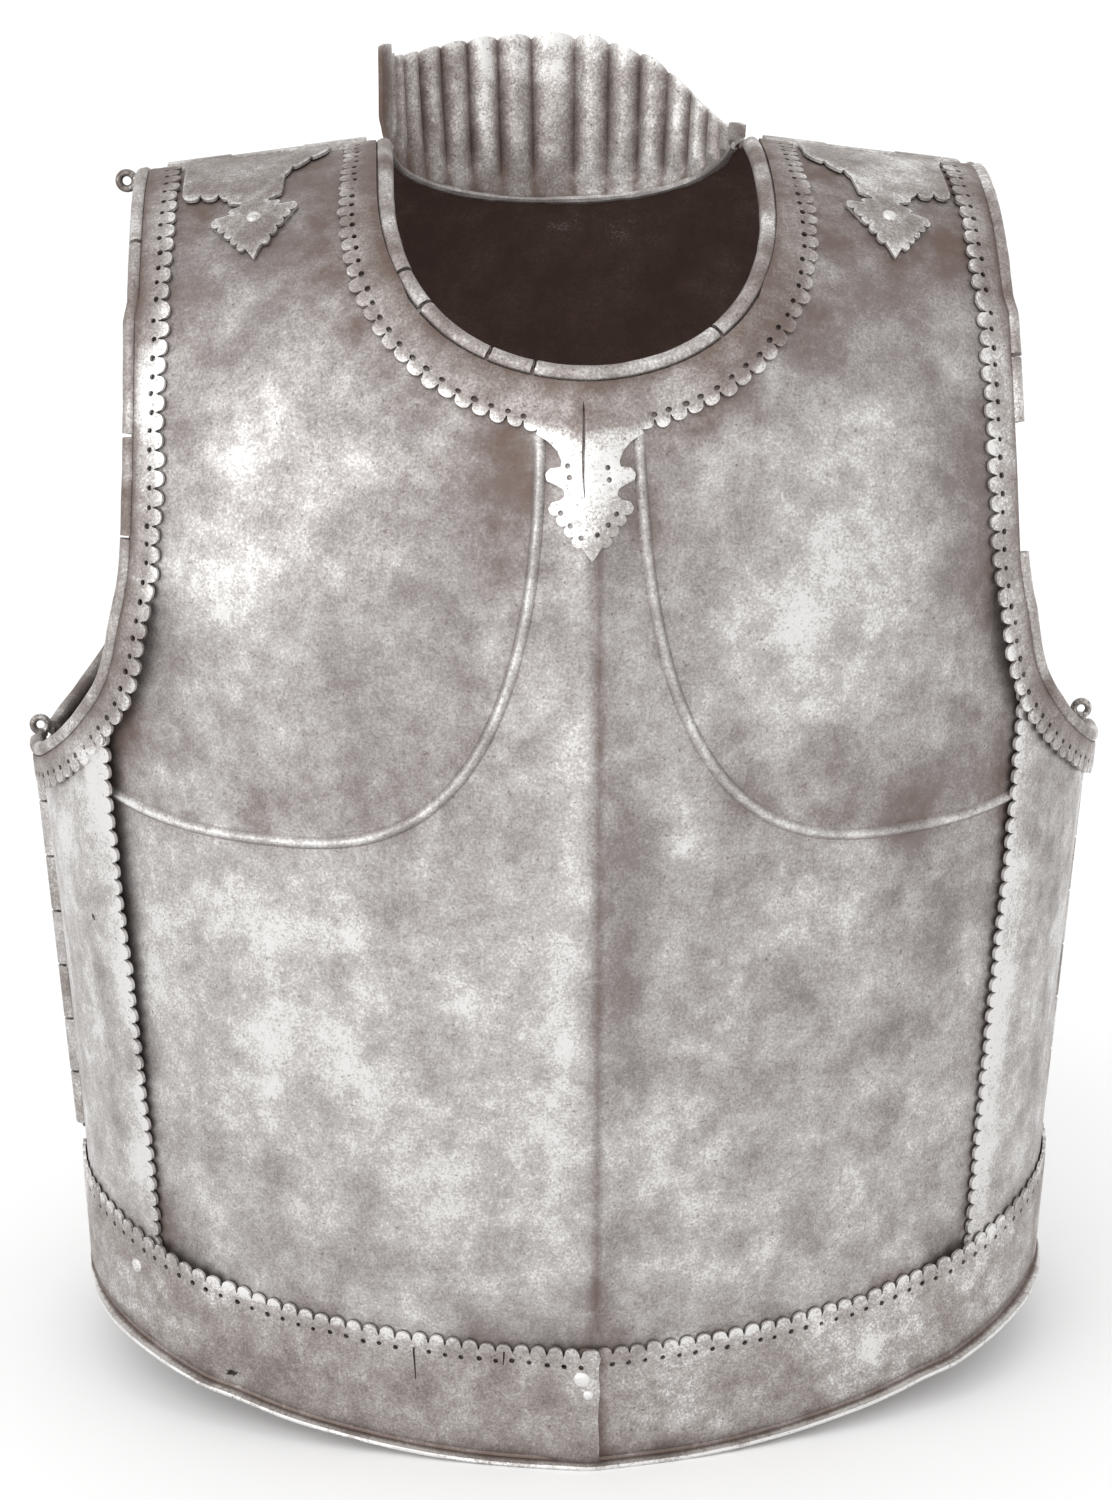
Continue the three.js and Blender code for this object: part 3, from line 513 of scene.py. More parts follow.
def bar(start, end, radius, bore=0.0, bevel=0.35, sides=HINGE["sides"]):
    """A straight round bar or barrel between two points, its ends bevelled."""
    start, end = np.asarray(start, float), np.asarray(end, float)
    along = (end - start) / np.linalg.norm(end - start)
    up, across = sideways(along, [0.31, 0.92, 0.22])
    cos, sin = circle(sides)
    out = up * cos[:, None] + across * sin[:, None]
    profile = [
        (start, bore),
        (start, radius - bevel),
        (start + along * bevel, radius),
        (end - along * bevel, radius),
        (end, radius - bevel),
        (end, bore),
    ]
    rings = [at + out * max(r, 0.01) for at, r in profile]
    return rings_mesh(rings, wear=0.3, closed=bore > 0)


def slab(centre, axes, sizes, bevel=0.3):
    """A block with bevelled edges along three directions."""
    made = bmesh.new()
    bmesh.ops.create_cube(made, size=1)
    for vert in made.verts:
        vert.co = Vector([c * s for c, s in zip(vert.co, sizes)])
    bmesh.ops.bevel(made, geom=made.edges, offset=bevel, segments=1, affect="EDGES")
    local = np.array([v.co[:] for v in made.verts])
    faces = [[v.index for v in f.verts] for f in made.faces]
    made.free()
    return shape(np.asarray(centre) + local @ np.array(axes), faces, wear=0.3)


def dome(point, normal, radius, height, rings=5, sides=16):
    """A flattened round head that stands along a normal."""
    normal = np.asarray(normal) / np.linalg.norm(normal)
    up, across = sideways(normal, [0.3, 0.2, 0.9])
    cos, sin = circle(sides)
    out = up * cos[:, None] + across * sin[:, None]
    turn = np.linspace(0, np.pi / 2 - 0.15, rings)
    made = [point - normal * 0.4 + out * radius]
    made += [point + normal * height * math.sin(t) + out * radius * math.cos(t) for t in turn]
    return rings_mesh(made, wear=0.8)


def rivet(surface, radius, height):
    """A rivet head on a surface, which is a function of the distance above it."""
    seat = surface(0)
    return dome(seat, surface(1) - seat, radius, height)


def ring_loop(centre, along, across, radius, wire, rings=28, sides=12):
    """A wire ring."""
    third = np.cross(along, across)
    cos, sin = circle(rings)
    ring_cos, ring_sin = circle(sides)
    made = []
    for c, s in zip(cos, sin):
        out = along * c + across * s
        made.append(centre + out * radius + wire * (out * ring_cos[:, None] + third * ring_sin[:, None]))
    return rings_mesh(made, wear=0.4, closed=True)


# Scalloped borders

def scallops(length, seed, depth=SCALLOP["depth"], pitch=SCALLOP["pitch"]):
    """Places along an edge with how far the lobes stand out there, and the places of the notches."""
    count = max(round(length / pitch), 1)
    pitch = length / count
    spread = np.random.default_rng(seed)
    turn = np.linspace(-1, 1, 11)
    tongue = (1 - np.abs(turn) ** 2.3) ** 0.5
    places, outs = [0.0], [0.0]
    for k in range(count):
        tall = depth * (1 + spread.uniform(-0.2, 0.1))
        lean = spread.uniform(-0.25, 0.25)
        places += list((k + 0.5 + SCALLOP["share"] / 2 * turn) * pitch + lean * tongue)
        outs += list(tall * tongue)
    return np.append(places, length), np.append(outs, 0), np.arange(1, count) * pitch


def lobed(start, end, count, depth):
    """Round lobes along a straight edge, standing out to its left."""
    start, end = np.array(start), np.array(end)
    along = end - start
    out = np.array([-along[1], along[0]]) / np.linalg.norm(along)
    turn = np.linspace(-1, 1, 9)[:-1]
    made = []
    for k in range(count):
        share = (k + 0.5 + 0.5 * turn) / count
        made.append(start + along * share[:, None] + out * depth * np.sqrt(1 - turn**2)[:, None])
    return np.concatenate([*made, [end]])


def hole(u, v, radius=SCALLOP["hole_radius"], count=10):
    cos, sin = circle(count)
    return np.column_stack([u + radius * cos, v + radius * sin])


def notch_holes(notches, edge, seed, hole_in=SCALLOP["hole_in"]):
    """One punched hole inside each notch of a scalloped edge, a little out of line."""
    spread = np.random.default_rng(seed)
    made = []
    for at in notches:
        shift = spread.uniform(-0.35, 0.35, 2)
        radius = SCALLOP["hole_radius"] * spread.uniform(0.85, 1.12)
        made.append((at + shift[0], edge(at) - hole_in + shift[1], radius))
    return made


def frame_along(path, turn):
    """A function that bends (distance along, distance away from) an edge of the front onto the body."""
    dense = np.linspace(0, path.length, 400)
    points = path.at(dense)
    normal = onto("front", points, 1.0) - onto("front", points, 0.0)
    away = np.cross(normal, path.tangent(dense, 3.0)) * turn
    away /= np.linalg.norm(away, axis=1, keepdims=True)

    def place(s, d, offset, lift):
        moved = path.at(s)
        moved = moved + np.stack([np.interp(s, dense, away[:, k]) for k in range(3)], -1) * d[:, None]
        return onto("front", moved, offset + lift(moved))

    return place


def patchy(u, v, seed, size=24.0):
    """A share about one half that changes from place to place on a flat sheet."""
    return 0.55 + 0.5 * wobble(np.column_stack([u, v, np.full(len(u), seed)]), size, 23)


def border(path, turn, width, lift, seed, pitch, charm=None, grime=None, painted_highlight=None):
    """A band along an edge of the front: plain beside the roll, scalloped and punched on the other side."""
    bend = frame_along(path, turn)
    places, outs, notches = scallops(path.length, seed, pitch=pitch)
    edge = np.column_stack([places, width(places) + outs])
    punched = notch_holes(notches, width, seed)
    if charm is not None:
        first, last = charm["outline"][0, 0], charm["outline"][-1, 0]
        edge = np.concatenate([edge[places < first], charm["outline"], edge[places > last]])
        punched = [h for h in punched if not first - 2 < h[0] < last + 2]
    plain = np.linspace(path.length, 0, 60)
    outline = np.concatenate([edge, np.column_stack([plain, np.full(len(plain), BORDER_START)])])
    holes = [hole(*spot) for spot in punched]
    if charm is not None:
        holes += [*charm["holes"], charm["crease"]]

    def place(s, d, offset):
        return bend(s, d, offset, lift)

    def wear(s, d):
        # Lobes worn bright, plus any painted highlight
        lobes = smooth(*LOBE_WEAR, d - width(s)) * patchy(s, d, seed)
        return lobes + painted_highlight(s, d) if painted_highlight else lobes

    return cut_sheet(outline, holes, SHEET_STEP["border"], place, wear=wear, grime=grime)


# Materials

BARE_STEEL = (0.80, 0.79, 0.775)
# Brown of dirt, dark enough that it also paints shadow lines and gaps
BROWN = (0.15, 0.102, 0.082)

# Noises that mottle the steel, with their sizes in millimetres
MOTTLE = {
    "patch": {"size": 20, "detail": 10, "rough": 0.74},
    "fine": {"size": 0.9, "detail": 5, "rough": 0.75},
    "pits": {"size": 1.2, "detail": 3, "rough": 0.55},
    "broad": {"size": 85, "detail": 4, "rough": 0.6},
    "streak": {"size": 30, "detail": 6, "rough": 0.7, "stretch": (1.0, 1.0, 0.25)},
}
# How far each noise, and wear with painted highlights, moves the metal from dark to light
TONE_SHIFT = {"broad": 2.4, "patch": 4.4, "fine": 3.6, "streak": 1.4, "wear": 1.2}
# Where each tone starts and is full, and where the metal turns smooth
TONE_STEP = {"middle": (-1.3, 0.3), "light": (-0.2, 1.3), "bare": (0.5, 0.95), "smooth": (-0.6, 0.7)}
# How dirt and painted shade turn the metal brown, and how the patch noise thins them
DIRT_AND_SHADE = {"step": (0.1, 1.0), "cover": 0.85, "patch_step": (0.35, 0.6), "patch_cover": (1.0, 0.45)}
PIT = {"step": (0.62, 0.72), "cover": 0.65, "depth": 0.6}
BUMP = {"fine": 0.5, "patch": 0.8, "distance": 0.4}


def aged_steel(
    name, tones, roughness, bump, light_share=0.0, grime_and_shade_tone=BROWN, bare_share=0.5, metallic=0.85
):
    """Old steel: clean patches over dull mauve-grey, brown dirt and painted shade in the corners and beside
    edges, wear and painted highlights lighter, pits and scratches.
    """
    material = bpy.data.materials.new(name)
    material.use_nodes = True
    nodes, links = material.node_tree.nodes, material.node_tree.links
    shader = nodes["Principled BSDF"]
    shader.inputs["Metallic"].default_value = metallic
    where = nodes.new("ShaderNodeTexCoord")

    def noise(size, detail, rough, stretch=(1, 1, 1)):
        mapping = nodes.new("ShaderNodeMapping")
        mapping.inputs["Scale"].default_value = stretch
        links.new(where.outputs["Object"], mapping.inputs["Vector"])
        texture = nodes.new("ShaderNodeTexNoise")
        texture.inputs["Scale"].default_value = 1 / (size * METRE)
        texture.inputs["Detail"].default_value = detail
        texture.inputs["Roughness"].default_value = rough
        links.new(mapping.outputs["Vector"], texture.inputs["Vector"])
        return texture.outputs["Fac"]

    def math_node(operation, a, b):
        node = nodes.new("ShaderNodeMath")
        node.operation = operation
        for socket, value in zip(node.inputs, (a, b)):
            if isinstance(value, (int, float)):
                socket.default_value = value
            else:
                links.new(value, socket)
        return node.outputs[0]

    def spread(value, low, high, to_low=0.0, to_high=1.0):
        node = nodes.new("ShaderNodeMapRange")
        node.interpolation_type = "SMOOTHSTEP"
        for socket, number in zip(("From Min", "From Max", "To Min", "To Max"), (low, high, to_low, to_high)):
            node.inputs[socket].default_value = number
        links.new(value, node.inputs["Value"])
        return node.outputs["Result"]

    def attribute(word):
        node = nodes.new("ShaderNodeAttribute")
        node.attribute_name = word
        return node.outputs["Fac"]

    def mix(share, a, b):
        node = nodes.new("ShaderNodeMix")
        node.data_type = "RGBA"
        links.new(share, node.inputs["Factor"])
        for socket, value in ((node.inputs["A"], a), (node.inputs["B"], b)):
            if isinstance(value, tuple):
                socket.default_value = (*value, 1)
            else:
                links.new(value, socket)
        return node.outputs["Result"]

    def about(value, weight):
        """A noise turned into a number about zero."""
        node = nodes.new("ShaderNodeMath")
        node.operation = "MULTIPLY_ADD"
        links.new(value, node.inputs[0])
        node.inputs[1].default_value = weight
        node.inputs[2].default_value = -weight / 2
        return node.outputs[0]

    grime, wear = attribute("grime"), attribute("wear")
    field = {word: noise(**row) for word, row in MOTTLE.items()}
    worn = about(field["broad"], TONE_SHIFT["broad"])
    for word in ("patch", "fine", "streak"):
        worn = math_node("ADD", worn, about(field[word], TONE_SHIFT[word]))
    worn = math_node("SUBTRACT", worn, grime)
    # Wear and painted highlights both lighten the metal
    worn = math_node("ADD", worn, math_node("MULTIPLY", wear, TONE_SHIFT["wear"]))
    worn = math_node("ADD", worn, light_share)
    color = mix(spread(worn, *TONE_STEP["middle"]), tones[0], tones[1])
    color = mix(spread(worn, *TONE_STEP["light"]), color, tones[2])
    bare = math_node("MULTIPLY", spread(worn, *TONE_STEP["bare"]), bare_share)
    color = mix(bare, color, BARE_STEEL)
    thin = spread(field["patch"], *DIRT_AND_SHADE["patch_step"], *DIRT_AND_SHADE["patch_cover"])
    # Dirt and painted shade both mix in the brown tone
    dirt_and_shade = math_node("MULTIPLY", spread(grime, *DIRT_AND_SHADE["step"]), thin)
    color = mix(math_node("MULTIPLY", dirt_and_shade, DIRT_AND_SHADE["cover"]), color, grime_and_shade_tone)
    pitted = spread(field["pits"], *PIT["step"])
    color = mix(math_node("MULTIPLY", pitted, PIT["cover"]), color, grime_and_shade_tone)
    links.new(color, shader.inputs["Base Color"])
    rough = spread(worn, *TONE_STEP["smooth"], roughness[1], roughness[0])
    links.new(rough, shader.inputs["Roughness"])
    fine, patch = (math_node("MULTIPLY", field[word], BUMP[word]) for word in ("fine", "patch"))
    height = math_node("ADD", fine, patch)
    height = math_node("SUBTRACT", height, math_node("MULTIPLY", pitted, PIT["depth"]))
    relief_node = nodes.new("ShaderNodeBump")
    relief_node.inputs["Strength"].default_value = bump
    relief_node.inputs["Distance"].default_value = BUMP["distance"] * METRE
    links.new(height, relief_node.inputs["Height"])
    links.new(relief_node.outputs["Normal"], shader.inputs["Normal"])
    return material


PLATE_STEEL = aged_steel(
    "plate_steel",
    tones=[(0.235, 0.207, 0.20), (0.405, 0.38, 0.37), (0.61, 0.597, 0.584)],
    roughness=(0.40, 0.58),
    bump=0.3,
)
BORDER_STEEL = aged_steel(
    "border_steel",
    tones=[(0.20, 0.168, 0.155), (0.375, 0.342, 0.326), (0.66, 0.645, 0.63)],
    roughness=(0.38, 0.58),
    bump=0.45,
    bare_share=0.8,
)
HINGE_STEEL = aged_steel(
    "hinge_steel",
    tones=[(0.19, 0.158, 0.145), (0.33, 0.30, 0.284), (0.60, 0.585, 0.565)],
    roughness=(0.42, 0.60),
    bump=0.5,
)
COLLAR_STEEL = aged_steel(
    "collar_steel",
    tones=[(0.22, 0.18, 0.165), (0.41, 0.373, 0.355), (0.76, 0.74, 0.72)],
    roughness=(0.44, 0.62),
    bump=0.6,
    grime_and_shade_tone=(0.15, 0.10, 0.08),
    bare_share=0.8,
)
PIN_IRON = aged_steel(
    "pin_iron",
    tones=[(0.085, 0.068, 0.06), (0.17, 0.145, 0.132), (0.42, 0.39, 0.365)],
    roughness=(0.42, 0.62),
    bump=0.5,
    light_share=-0.1,
)
INSIDE_STEEL = aged_steel(
    "inside_steel",
    tones=[(0.085, 0.049, 0.038), (0.125, 0.078, 0.062), (0.20, 0.15, 0.125)],
    roughness=(0.55, 0.75),
    bump=0.4,
    light_share=-0.5,
    grime_and_shade_tone=(0.055, 0.033, 0.026),
    metallic=0.4,
)


def piece(name, shapes, body, node, outer):
    """One piece of the object from shapes in millimetres, shown in place of a node of the frame."""
    made = joined(shapes)
    mesh = bpy.data.meshes.new(name)
    place = (made["verts"] + np.array([0, FRAME_SHIFT, 0])) * METRE
    mesh.from_pydata(place.tolist(), [], made["faces"])
    for material in (outer, INSIDE_STEEL):
        mesh.materials.append(material)
    mesh.polygons.foreach_set("material_index", made["inner"].astype(np.int32))
    for word in ("wear", "grime"):
        values = mesh.attributes.new(word, "FLOAT", "POINT")
        values.data.foreach_set("value", made[word].astype(np.float32))
    fixed = bmesh.new()
    fixed.from_mesh(mesh)
    bmesh.ops.recalc_face_normals(fixed, faces=fixed.faces)
    fixed.to_mesh(mesh)
    fixed.free()
    mesh.shade_smooth()
    mesh.set_sharp_from_angle(angle=math.radians(38))
    thing = bpy.data.objects.new(name, mesh)
    bpy.context.scene.collection.objects.link(thing)
    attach(thing, body)
    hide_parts(node)
    return thing


# Large plates

OPENING_SCALE = 60.0  # turns shares of the neck's oval into millimetres, roughly


def neck_oval(half, x, z):
    """Zero on the edge of the neck opening in front view, and below zero inside it."""
    neck = NECK[half]
    below = np.maximum(neck["centre"] - z, 0) / neck["depth"]
    across = np.abs(x) / neck["half_width"]
    return (across ** neck["power"] + below ** neck["power"]) ** (1 / neck["power"]) - 1


def clear_of_openings(half, x, z):
    """Above zero where a place in front view lies clear of the neck and arm openings."""
    low = ARM_EDGE["z"][-1]
    arm = (arm_x(x, np.maximum(z, low)) - np.abs(x)) / OPENING_SCALE
    return np.minimum(neck_oval(half, x, z), np.where(z < low, 1, arm))


def plate_sheet(half, angles, levels, grime):
    """The plate of one half, cut out round the neck and arms and along the rim."""

    def level_from(angle, level):
        drop = 1 - (PLATE_FLOOR + rim_height(angle)) / SHOULDER_START
        return np.where(level < 0, level * drop, level)

    def keep_at(angle, level):
        point = body_point(half, angle, level_from(angle, level))
        return clear_of_openings(half, point[..., 0], point[..., 2])

    params, triangles = clipped_grid(angles, levels, keep_at)
    angle, level = params[:, 0], level_from(params[:, 0], params[:, 1])
    outer = skin(half, angle, level, 0.0)
    inner = skin(half, angle, level, -PLATE)
    return thick_sheet(outer, inner, triangles, np.zeros(len(outer)), grime(outer))


def pec_line(side):
    """The pectoral's edge from under the neck band down and out to the side."""
    start = math.asin(((PEC["z"] - PEC_BEAD["from"]) / PEC["depth"]) ** (PEC["power"] / 2))
    turn = np.linspace(start, PEC_BEAD["to"] * np.pi, 160)
    reach = np.where(turn < np.pi / 2, PEC["inner"], PEC["outer"])
    x = PEC["x"] - reach * power(np.cos(turn), 2 / PEC["power"])
    z = PEC["z"] - PEC["depth"] * power(np.sin(turn), 2 / PEC["power"])
    return Path(skin_at("front", side * x, z))


def pec_bead(side):
    """A raised bead with a soft round top."""
    path = pec_line(side)
    s = np.linspace(0, path.length, int(path.length / 2.0))
    point, along = path.at(s), path.tangent(s, 3.0)
    normal = onto("front", point, 1.0) - onto("front", point, 0.0)
    across = np.cross(normal, along)
    fade = smooth(0, 14, s) * smooth(0, 18, path.length - s)
    share = np.linspace(-1, 1, 9)
    rise = np.cos(share * np.pi / 2) ** 1.2
    rings = []
    for k in range(len(s)):
        top = point[k] + across[k] * share[:, None] * PEC_BEAD["half_width"]
        top = top + normal[k] * (rise * PEC_BEAD["height"] * fade[k] - PEC_BEAD["sink"])[:, None]
        root = share[[-1, 0], None] * PEC_BEAD["half_width"] * 0.9
        bottom = point[k] + across[k] * root - normal[k] * PEC_BEAD["root"]
        rings.append(np.concatenate([top, bottom]))
    # Painted highlight along the bead's top, partly rub wear, and painted shade down its flanks and at its
    # root
    wear = np.tile(np.concatenate([rise * 0.32, [0, 0]]), len(s))
    grime = np.tile(np.concatenate([0.55 * (1 - rise), [1, 1]]), len(s))
    return rings_mesh(rings, wear=wear, grime=grime)


# Areas of the breastplate rubbed brighter than the rest: middle, half sizes and strength
POLISHED = {
    "x": [-100, -112, 72, 58, -100, -40, -10, 46, 103],
    "z": [362, 298, 352, 300, 160, 118, 215, 112, 332],
    "half_x": [36, 34, 40, 40, 62, 46, 12, 44, 24],
    "half_z": [30, 36, 34, 34, 66, 46, 70, 36, 36],
    "strength": [0.5, 0.5, 0.5, 0.5, 0.65, 0.5, 0.4, 0.3, 0.3],
}


def polish(x, z):
    total = np.zeros(np.shape(x))
    for row in zip(*POLISHED.values()):
        far = ((x - row[0]) / row[2]) ** 2 + ((z - row[1]) / row[3]) ** 2
        total = np.maximum(total, row[4] * np.exp(-far))
    return total


# Painted shade on the breastplate beside the beads, bands and side panels: its strength, how far from an edge
# it starts and over what distance it fades, and the heights where it is none and full
BREAST_PAINTED_SHADE = {
    "above_bead": {"strength": 0.75, "start": 0.0, "fade": 22.0, "none": 395.0, "full": 345.0},
    "below_bead": {"strength": 0.75, "start": 0.0, "fade": 4.0, "none": 395.0, "full": 345.0},
    "neck": {"strength": 0.9, "start": 21.0, "fade": 24.0, "none": 300.0, "full": 345.0},
    "arm": {"strength": 0.55, "start": 14.0, "fade": 16.0, "none": 215.0, "full": 245.0},
    "panel": {"strength": 0.9, "start": 0.0, "fade": 5.0, "none": 290.0, "full": 260.0},
    "waist": {"strength": 0.7, "start": 2.0, "fade": 11.0, "none": 500.0, "full": 400.0},
}
# Painted shade of the keel: a dark line just right of the ridge (place, half width, strength) and a darker
# right side (shade)
KEEL_SHADE = {"x": 1.6, "half": 1.8, "strength": 0.75, "shade": 0.4}
# Makes the chest darker towards the shoulders
SHOULDER_DARKENING = 0.45


# Painted shade that fades away from an edge
def painted_shade_beside(word, distance, z):
    row = BREAST_PAINTED_SHADE[word]
    near = np.exp(-np.maximum(distance - row["start"], 0) / row["fade"])
    return row["strength"] * near * smooth(row["none"], row["full"], z)


def breast_shade_and_polish(point):
    """Painted shade along the borders, beside the pectoral beads and the side panels, and along and right of
    the keel, made patchy by noise; darker towards the shoulders, and less on polished areas.
    """
    x, z = point[:, 0], point[:, 2]
    wide = np.abs(x)
    reach = (1 - pec_reach(x, z)) * PEC["inner"]
    share = np.where(x < 0, PANEL_EDGE["left"]["share"], PANEL_EDGE["right"]["share"])
    turn = (wide / SECTIONS["half_width"][0]) ** WAIST_BAND["power"]
    waist_top = lerp(WAIST_BAND["front"], WAIST_BAND["side"], turn)
    # Painted shade at the pectoral beads, beyond the band lobes and in the gap under the side panels
    total = np.where(reach > 0, painted_shade_beside("above_bead", reach, z), painted_shade_beside("below_bead", -reach, z))
    total = total + painted_shade_beside("neck", neck_oval("front", x, z) * OPENING_SCALE, z)
    total = total + painted_shade_beside("arm", arm_x(x, np.maximum(z, ARM_EDGE["z"][-1])) - wide, z)
    total = total + painted_shade_beside("panel", share * half_width(np.minimum(z, SHOULDER_START)) - wide, z)
    total = total + painted_shade_beside("waist", z - waist_top, z)
    # Painted shade on the right side of the keel
    total = total + KEEL_SHADE["shade"] * smooth(0, 5, x) * smooth(38, 8, x) * smooth(335, 300, z)
    total = total + SHOULDER_DARKENING * smooth(398, 425, z)
    rough = 0.75 + 0.45 * wobble(point, 16.0, 11) + 0.25 * wobble(point, 5.0, 12)
    # Painted dark line for the shading edge of the keel
    crease = np.exp(-(((x - KEEL_SHADE["x"]) / KEEL_SHADE["half"]) ** 2)) * smooth(345, 325, z)
    return np.clip(total * rough + KEEL_SHADE["strength"] * crease, 0, 1) - polish(x, z)


def build_breast():
    share = np.linspace(-1, 1, 141)
    angles = angle_at(share * BREAST_EDGE)
    levels = np.concatenate([np.linspace(-1, 0, 96)[:-1], np.linspace(0, RIDGE_LEVEL, 70)])
    sheet = plate_sheet("front", angles, levels, breast_shade_and_polish)
    beads = [pec_bead(side) for side in SIDES.values()]
    piece("breast_plate_steel", [sheet, *beads], "breast", "breast_plate", PLATE_STEEL)


def back_grime(point):
    low = np.exp(-np.maximum(point[:, 2] - 60, 0) / 18)
    return np.clip(0.15 + 0.6 * low + 0.25 * wobble(point, 30.0, 5), 0, 1)


def build_back():
    end = angle_near("back", HINGE["edge"])
    levels = np.concatenate([np.linspace(-1, 0, 80)[:-1], np.linspace(0, RIDGE_LEVEL, 60)])
    sheet = plate_sheet("back", np.linspace(-end, end, 121), levels, back_grime)
    x, z = neck_curve("back", 0.0, np.linspace(0, 1, 160))
    edge = Path(skin_at("back", x, z, EDGE_DEPTH))
    cord = tube(edge, 1.5, 0, edge.length, sides=8, rough=0.3, seed=4)
    piece("back_plate_steel", [sheet, cord], "back", "back_plate", PLATE_STEEL)


# Side panels

def hinge_line(start, end, outward, sizes):
    start, end = np.asarray(start, float), np.asarray(end, float)
    along = (end - start) / np.linalg.norm(end - start)
    across = np.array([0.0, 1.0, 0.0])
    out = np.cross(across, along)
    out *= np.sign(out @ np.asarray(outward, float))
    return {"start": start, "end": end, "along": along, "across": across, "out": out, **sizes}


def side_line(side):
    low, high = SIDE_HINGE["low"], SIDE_HINGE["high"]
    place = [(side * (float(half_width(z)) + SIDE_HINGE["rise"]), 0, z) for z in (low, high)]
    return hinge_line(*place, (side, 0, 0), SIDE_HINGE)


def shoulder_line(side):
    inner, outer = SHOULDER_HINGE["inner"], SHOULDER_HINGE["outer"]
    place = [(side * x, 0, float(ridge_height(x)) + SHOULDER_HINGE["rise"]) for x in (inner, outer)]
    return hinge_line(*place, (0, 0, 1), SHOULDER_HINGE)


def knuckles(line, first, toward, thickness):
    """The barrels of one leaf, each with the tongue that carries it."""
    pitch = np.linalg.norm(line["end"] - line["start"]) / line["knuckles"]
    made = []
    for k in range(first, line["knuckles"], 2):
        start = line["start"] + line["along"] * (k * pitch + line["gap"] / 2)
        end = line["start"] + line["along"] * ((k + 1) * pitch - line["gap"] / 2)
        made.append(bar(start, end, HINGE["barrel"], HINGE["bore"]))
        inset = HINGE["bore"] + 0.3
        length = HINGE["edge"] + HINGE["root"] - inset
        centre = (start + end) / 2 + line["out"] * (GAP + thickness / 2 - line["rise"])
        centre = centre + line["across"] * toward * (inset + length / 2)
        axes = [line["along"], line["across"], line["out"]]
        made.append(slab(centre, axes, (pitch - line["gap"], length, thickness)))
    return made


def pin(line, before, after, looped=True):
    """A pin, mostly with a wire loop at its far end and a small bead where the loop closes."""
    start = line["start"] - line["along"] * before
    end = line["end"] + line["along"] * (after + PIN_LOOP["stem"])
    if not looped:
        return [bar(start, end, HINGE["pin"])]
    centre = end + line["along"] * (PIN_LOOP["radius"] - PIN_LOOP["wire"] / 2)
    loop = ring_loop(centre, line["along"], line["out"], PIN_LOOP["radius"], PIN_LOOP["wire"])
    knot = bar(end - line["along"] * 3, end + line["along"] * 0.5, 2.3, bevel=0.9)
    return [bar(start, end, HINGE["pin"]), loop, knot]


# Holes through the side panels: distance from the front edge, height and radius
PANEL_HOLES = {"left": [(17.0, 185.0, 1.3)], "right": []}
PANEL_LOBE = 2.7


def build_side_panel(word, side):
    share, stand, top = (PANEL_EDGE[word][key] for key in ("share", "stand", "top"))
    start, end = float(angle_at(share)), angle_near("front", HINGE["edge"])
    girth = np.linspace(start, end, 40)
    arc = Path(skin("front", girth, level_of(150.0)))
    low = PLATE_FLOOR + float(rim_height(start))

    def angle_of(u):
        ahead = np.interp(u, arc.lengths, girth)
        return np.where(u < 0, start + u * (girth[1] - girth[0]) / arc.lengths[1], ahead)

    def place(u, z, offset):
        angle = angle_of(u)
        lift = stand * smooth(40, 220, z) * (1 - 0.6 * smooth(235, 275, z))
        lift = lift * (1 - smooth(0, 0.5, u / arc.length))
        return skin("front", side * angle, level_of(z), GAP + offset + lift)

    heights = np.linspace(200, top, 160)

    def top_at(u):
        x = half_width(heights) * np.sin(float(angle_of(u))) ** (2 / SECTION_POWER)
        clear = heights[x < arm_x(side, heights) - 2]
        return float(clear.max()) if len(clear) else float(heights[0])

    across = np.linspace(0, arc.length, 40)
    upper = np.array([top_at(u) for u in across])
    lower = PLATE_FLOOR + rim_height(angle_of(across))
    places, outs, _ = scallops(upper[0] - low, 21 + side, PANEL_LOBE)
    outline = np.concatenate([
        np.column_stack([-outs, low + places]),
        np.column_stack([across, upper])[1:],
        np.column_stack([across, lower])[::-1][:-1],
    ])

    def wear(u, z):
        return smooth(1.5, -1.5, u) * patchy(u, z, 5) + 0.35 * smooth(14, 4, u)

    def grime(u, z):
        # Painted shadow just above the waist band's edge; the rest of the panel is lightened, painted light
        # on the side
        return np.clip(0.55 * np.exp(-np.maximum(z - 66, 0) / 10) - 0.25, -1, 0.8)

    holes = [hole(*spot) for spot in PANEL_HOLES[word]]
    panel = cut_sheet(outline, holes, SHEET_STEP["panel"], place, PLATE, wear=wear, grime=grime)
    parts = [panel, *knuckles(side_line(side), 1, -1, PLATE)]
    piece(f"side_panel_{word}_steel", parts, "breast", f"side_panel_{word}", PLATE_STEEL)


# Borders and rolled edges

PENDANT = {
    "half": [17.4, 13.6, 10.8, 9.4, 9.8, 13.2, 14.8, 14.4, 11.4, 9.0, 8.6, 10.2, 12.6],
    "z": [366.6, 364.4, 361.6, 358.4, 356.6, 356.2, 354.4, 352.2, 351.0, 349.6, 347.6, 346.2, 345.6],
}
PENDANT_LOBES = {"start": (13.2, 345.0), "end": (3.4, 331.4), "count": 4, "depth": 1.9}
PENDANT_TIP = 326.6
PENDANT_CREASE = {"x": -2.4, "top": 377.0, "bottom": 347.0, "half": 0.55}
PENDANT_HOLES = {
    "x": [-7.5, -7.0, 5.6, 6.0, -10.0, -7.0, -3.5, 1.8, 5.5, 8.2],
    "z": [357.0, 353.4, 356.4, 352.6, 342.2, 338.2, 334.4, 335.4, 338.4, 341.8],
}


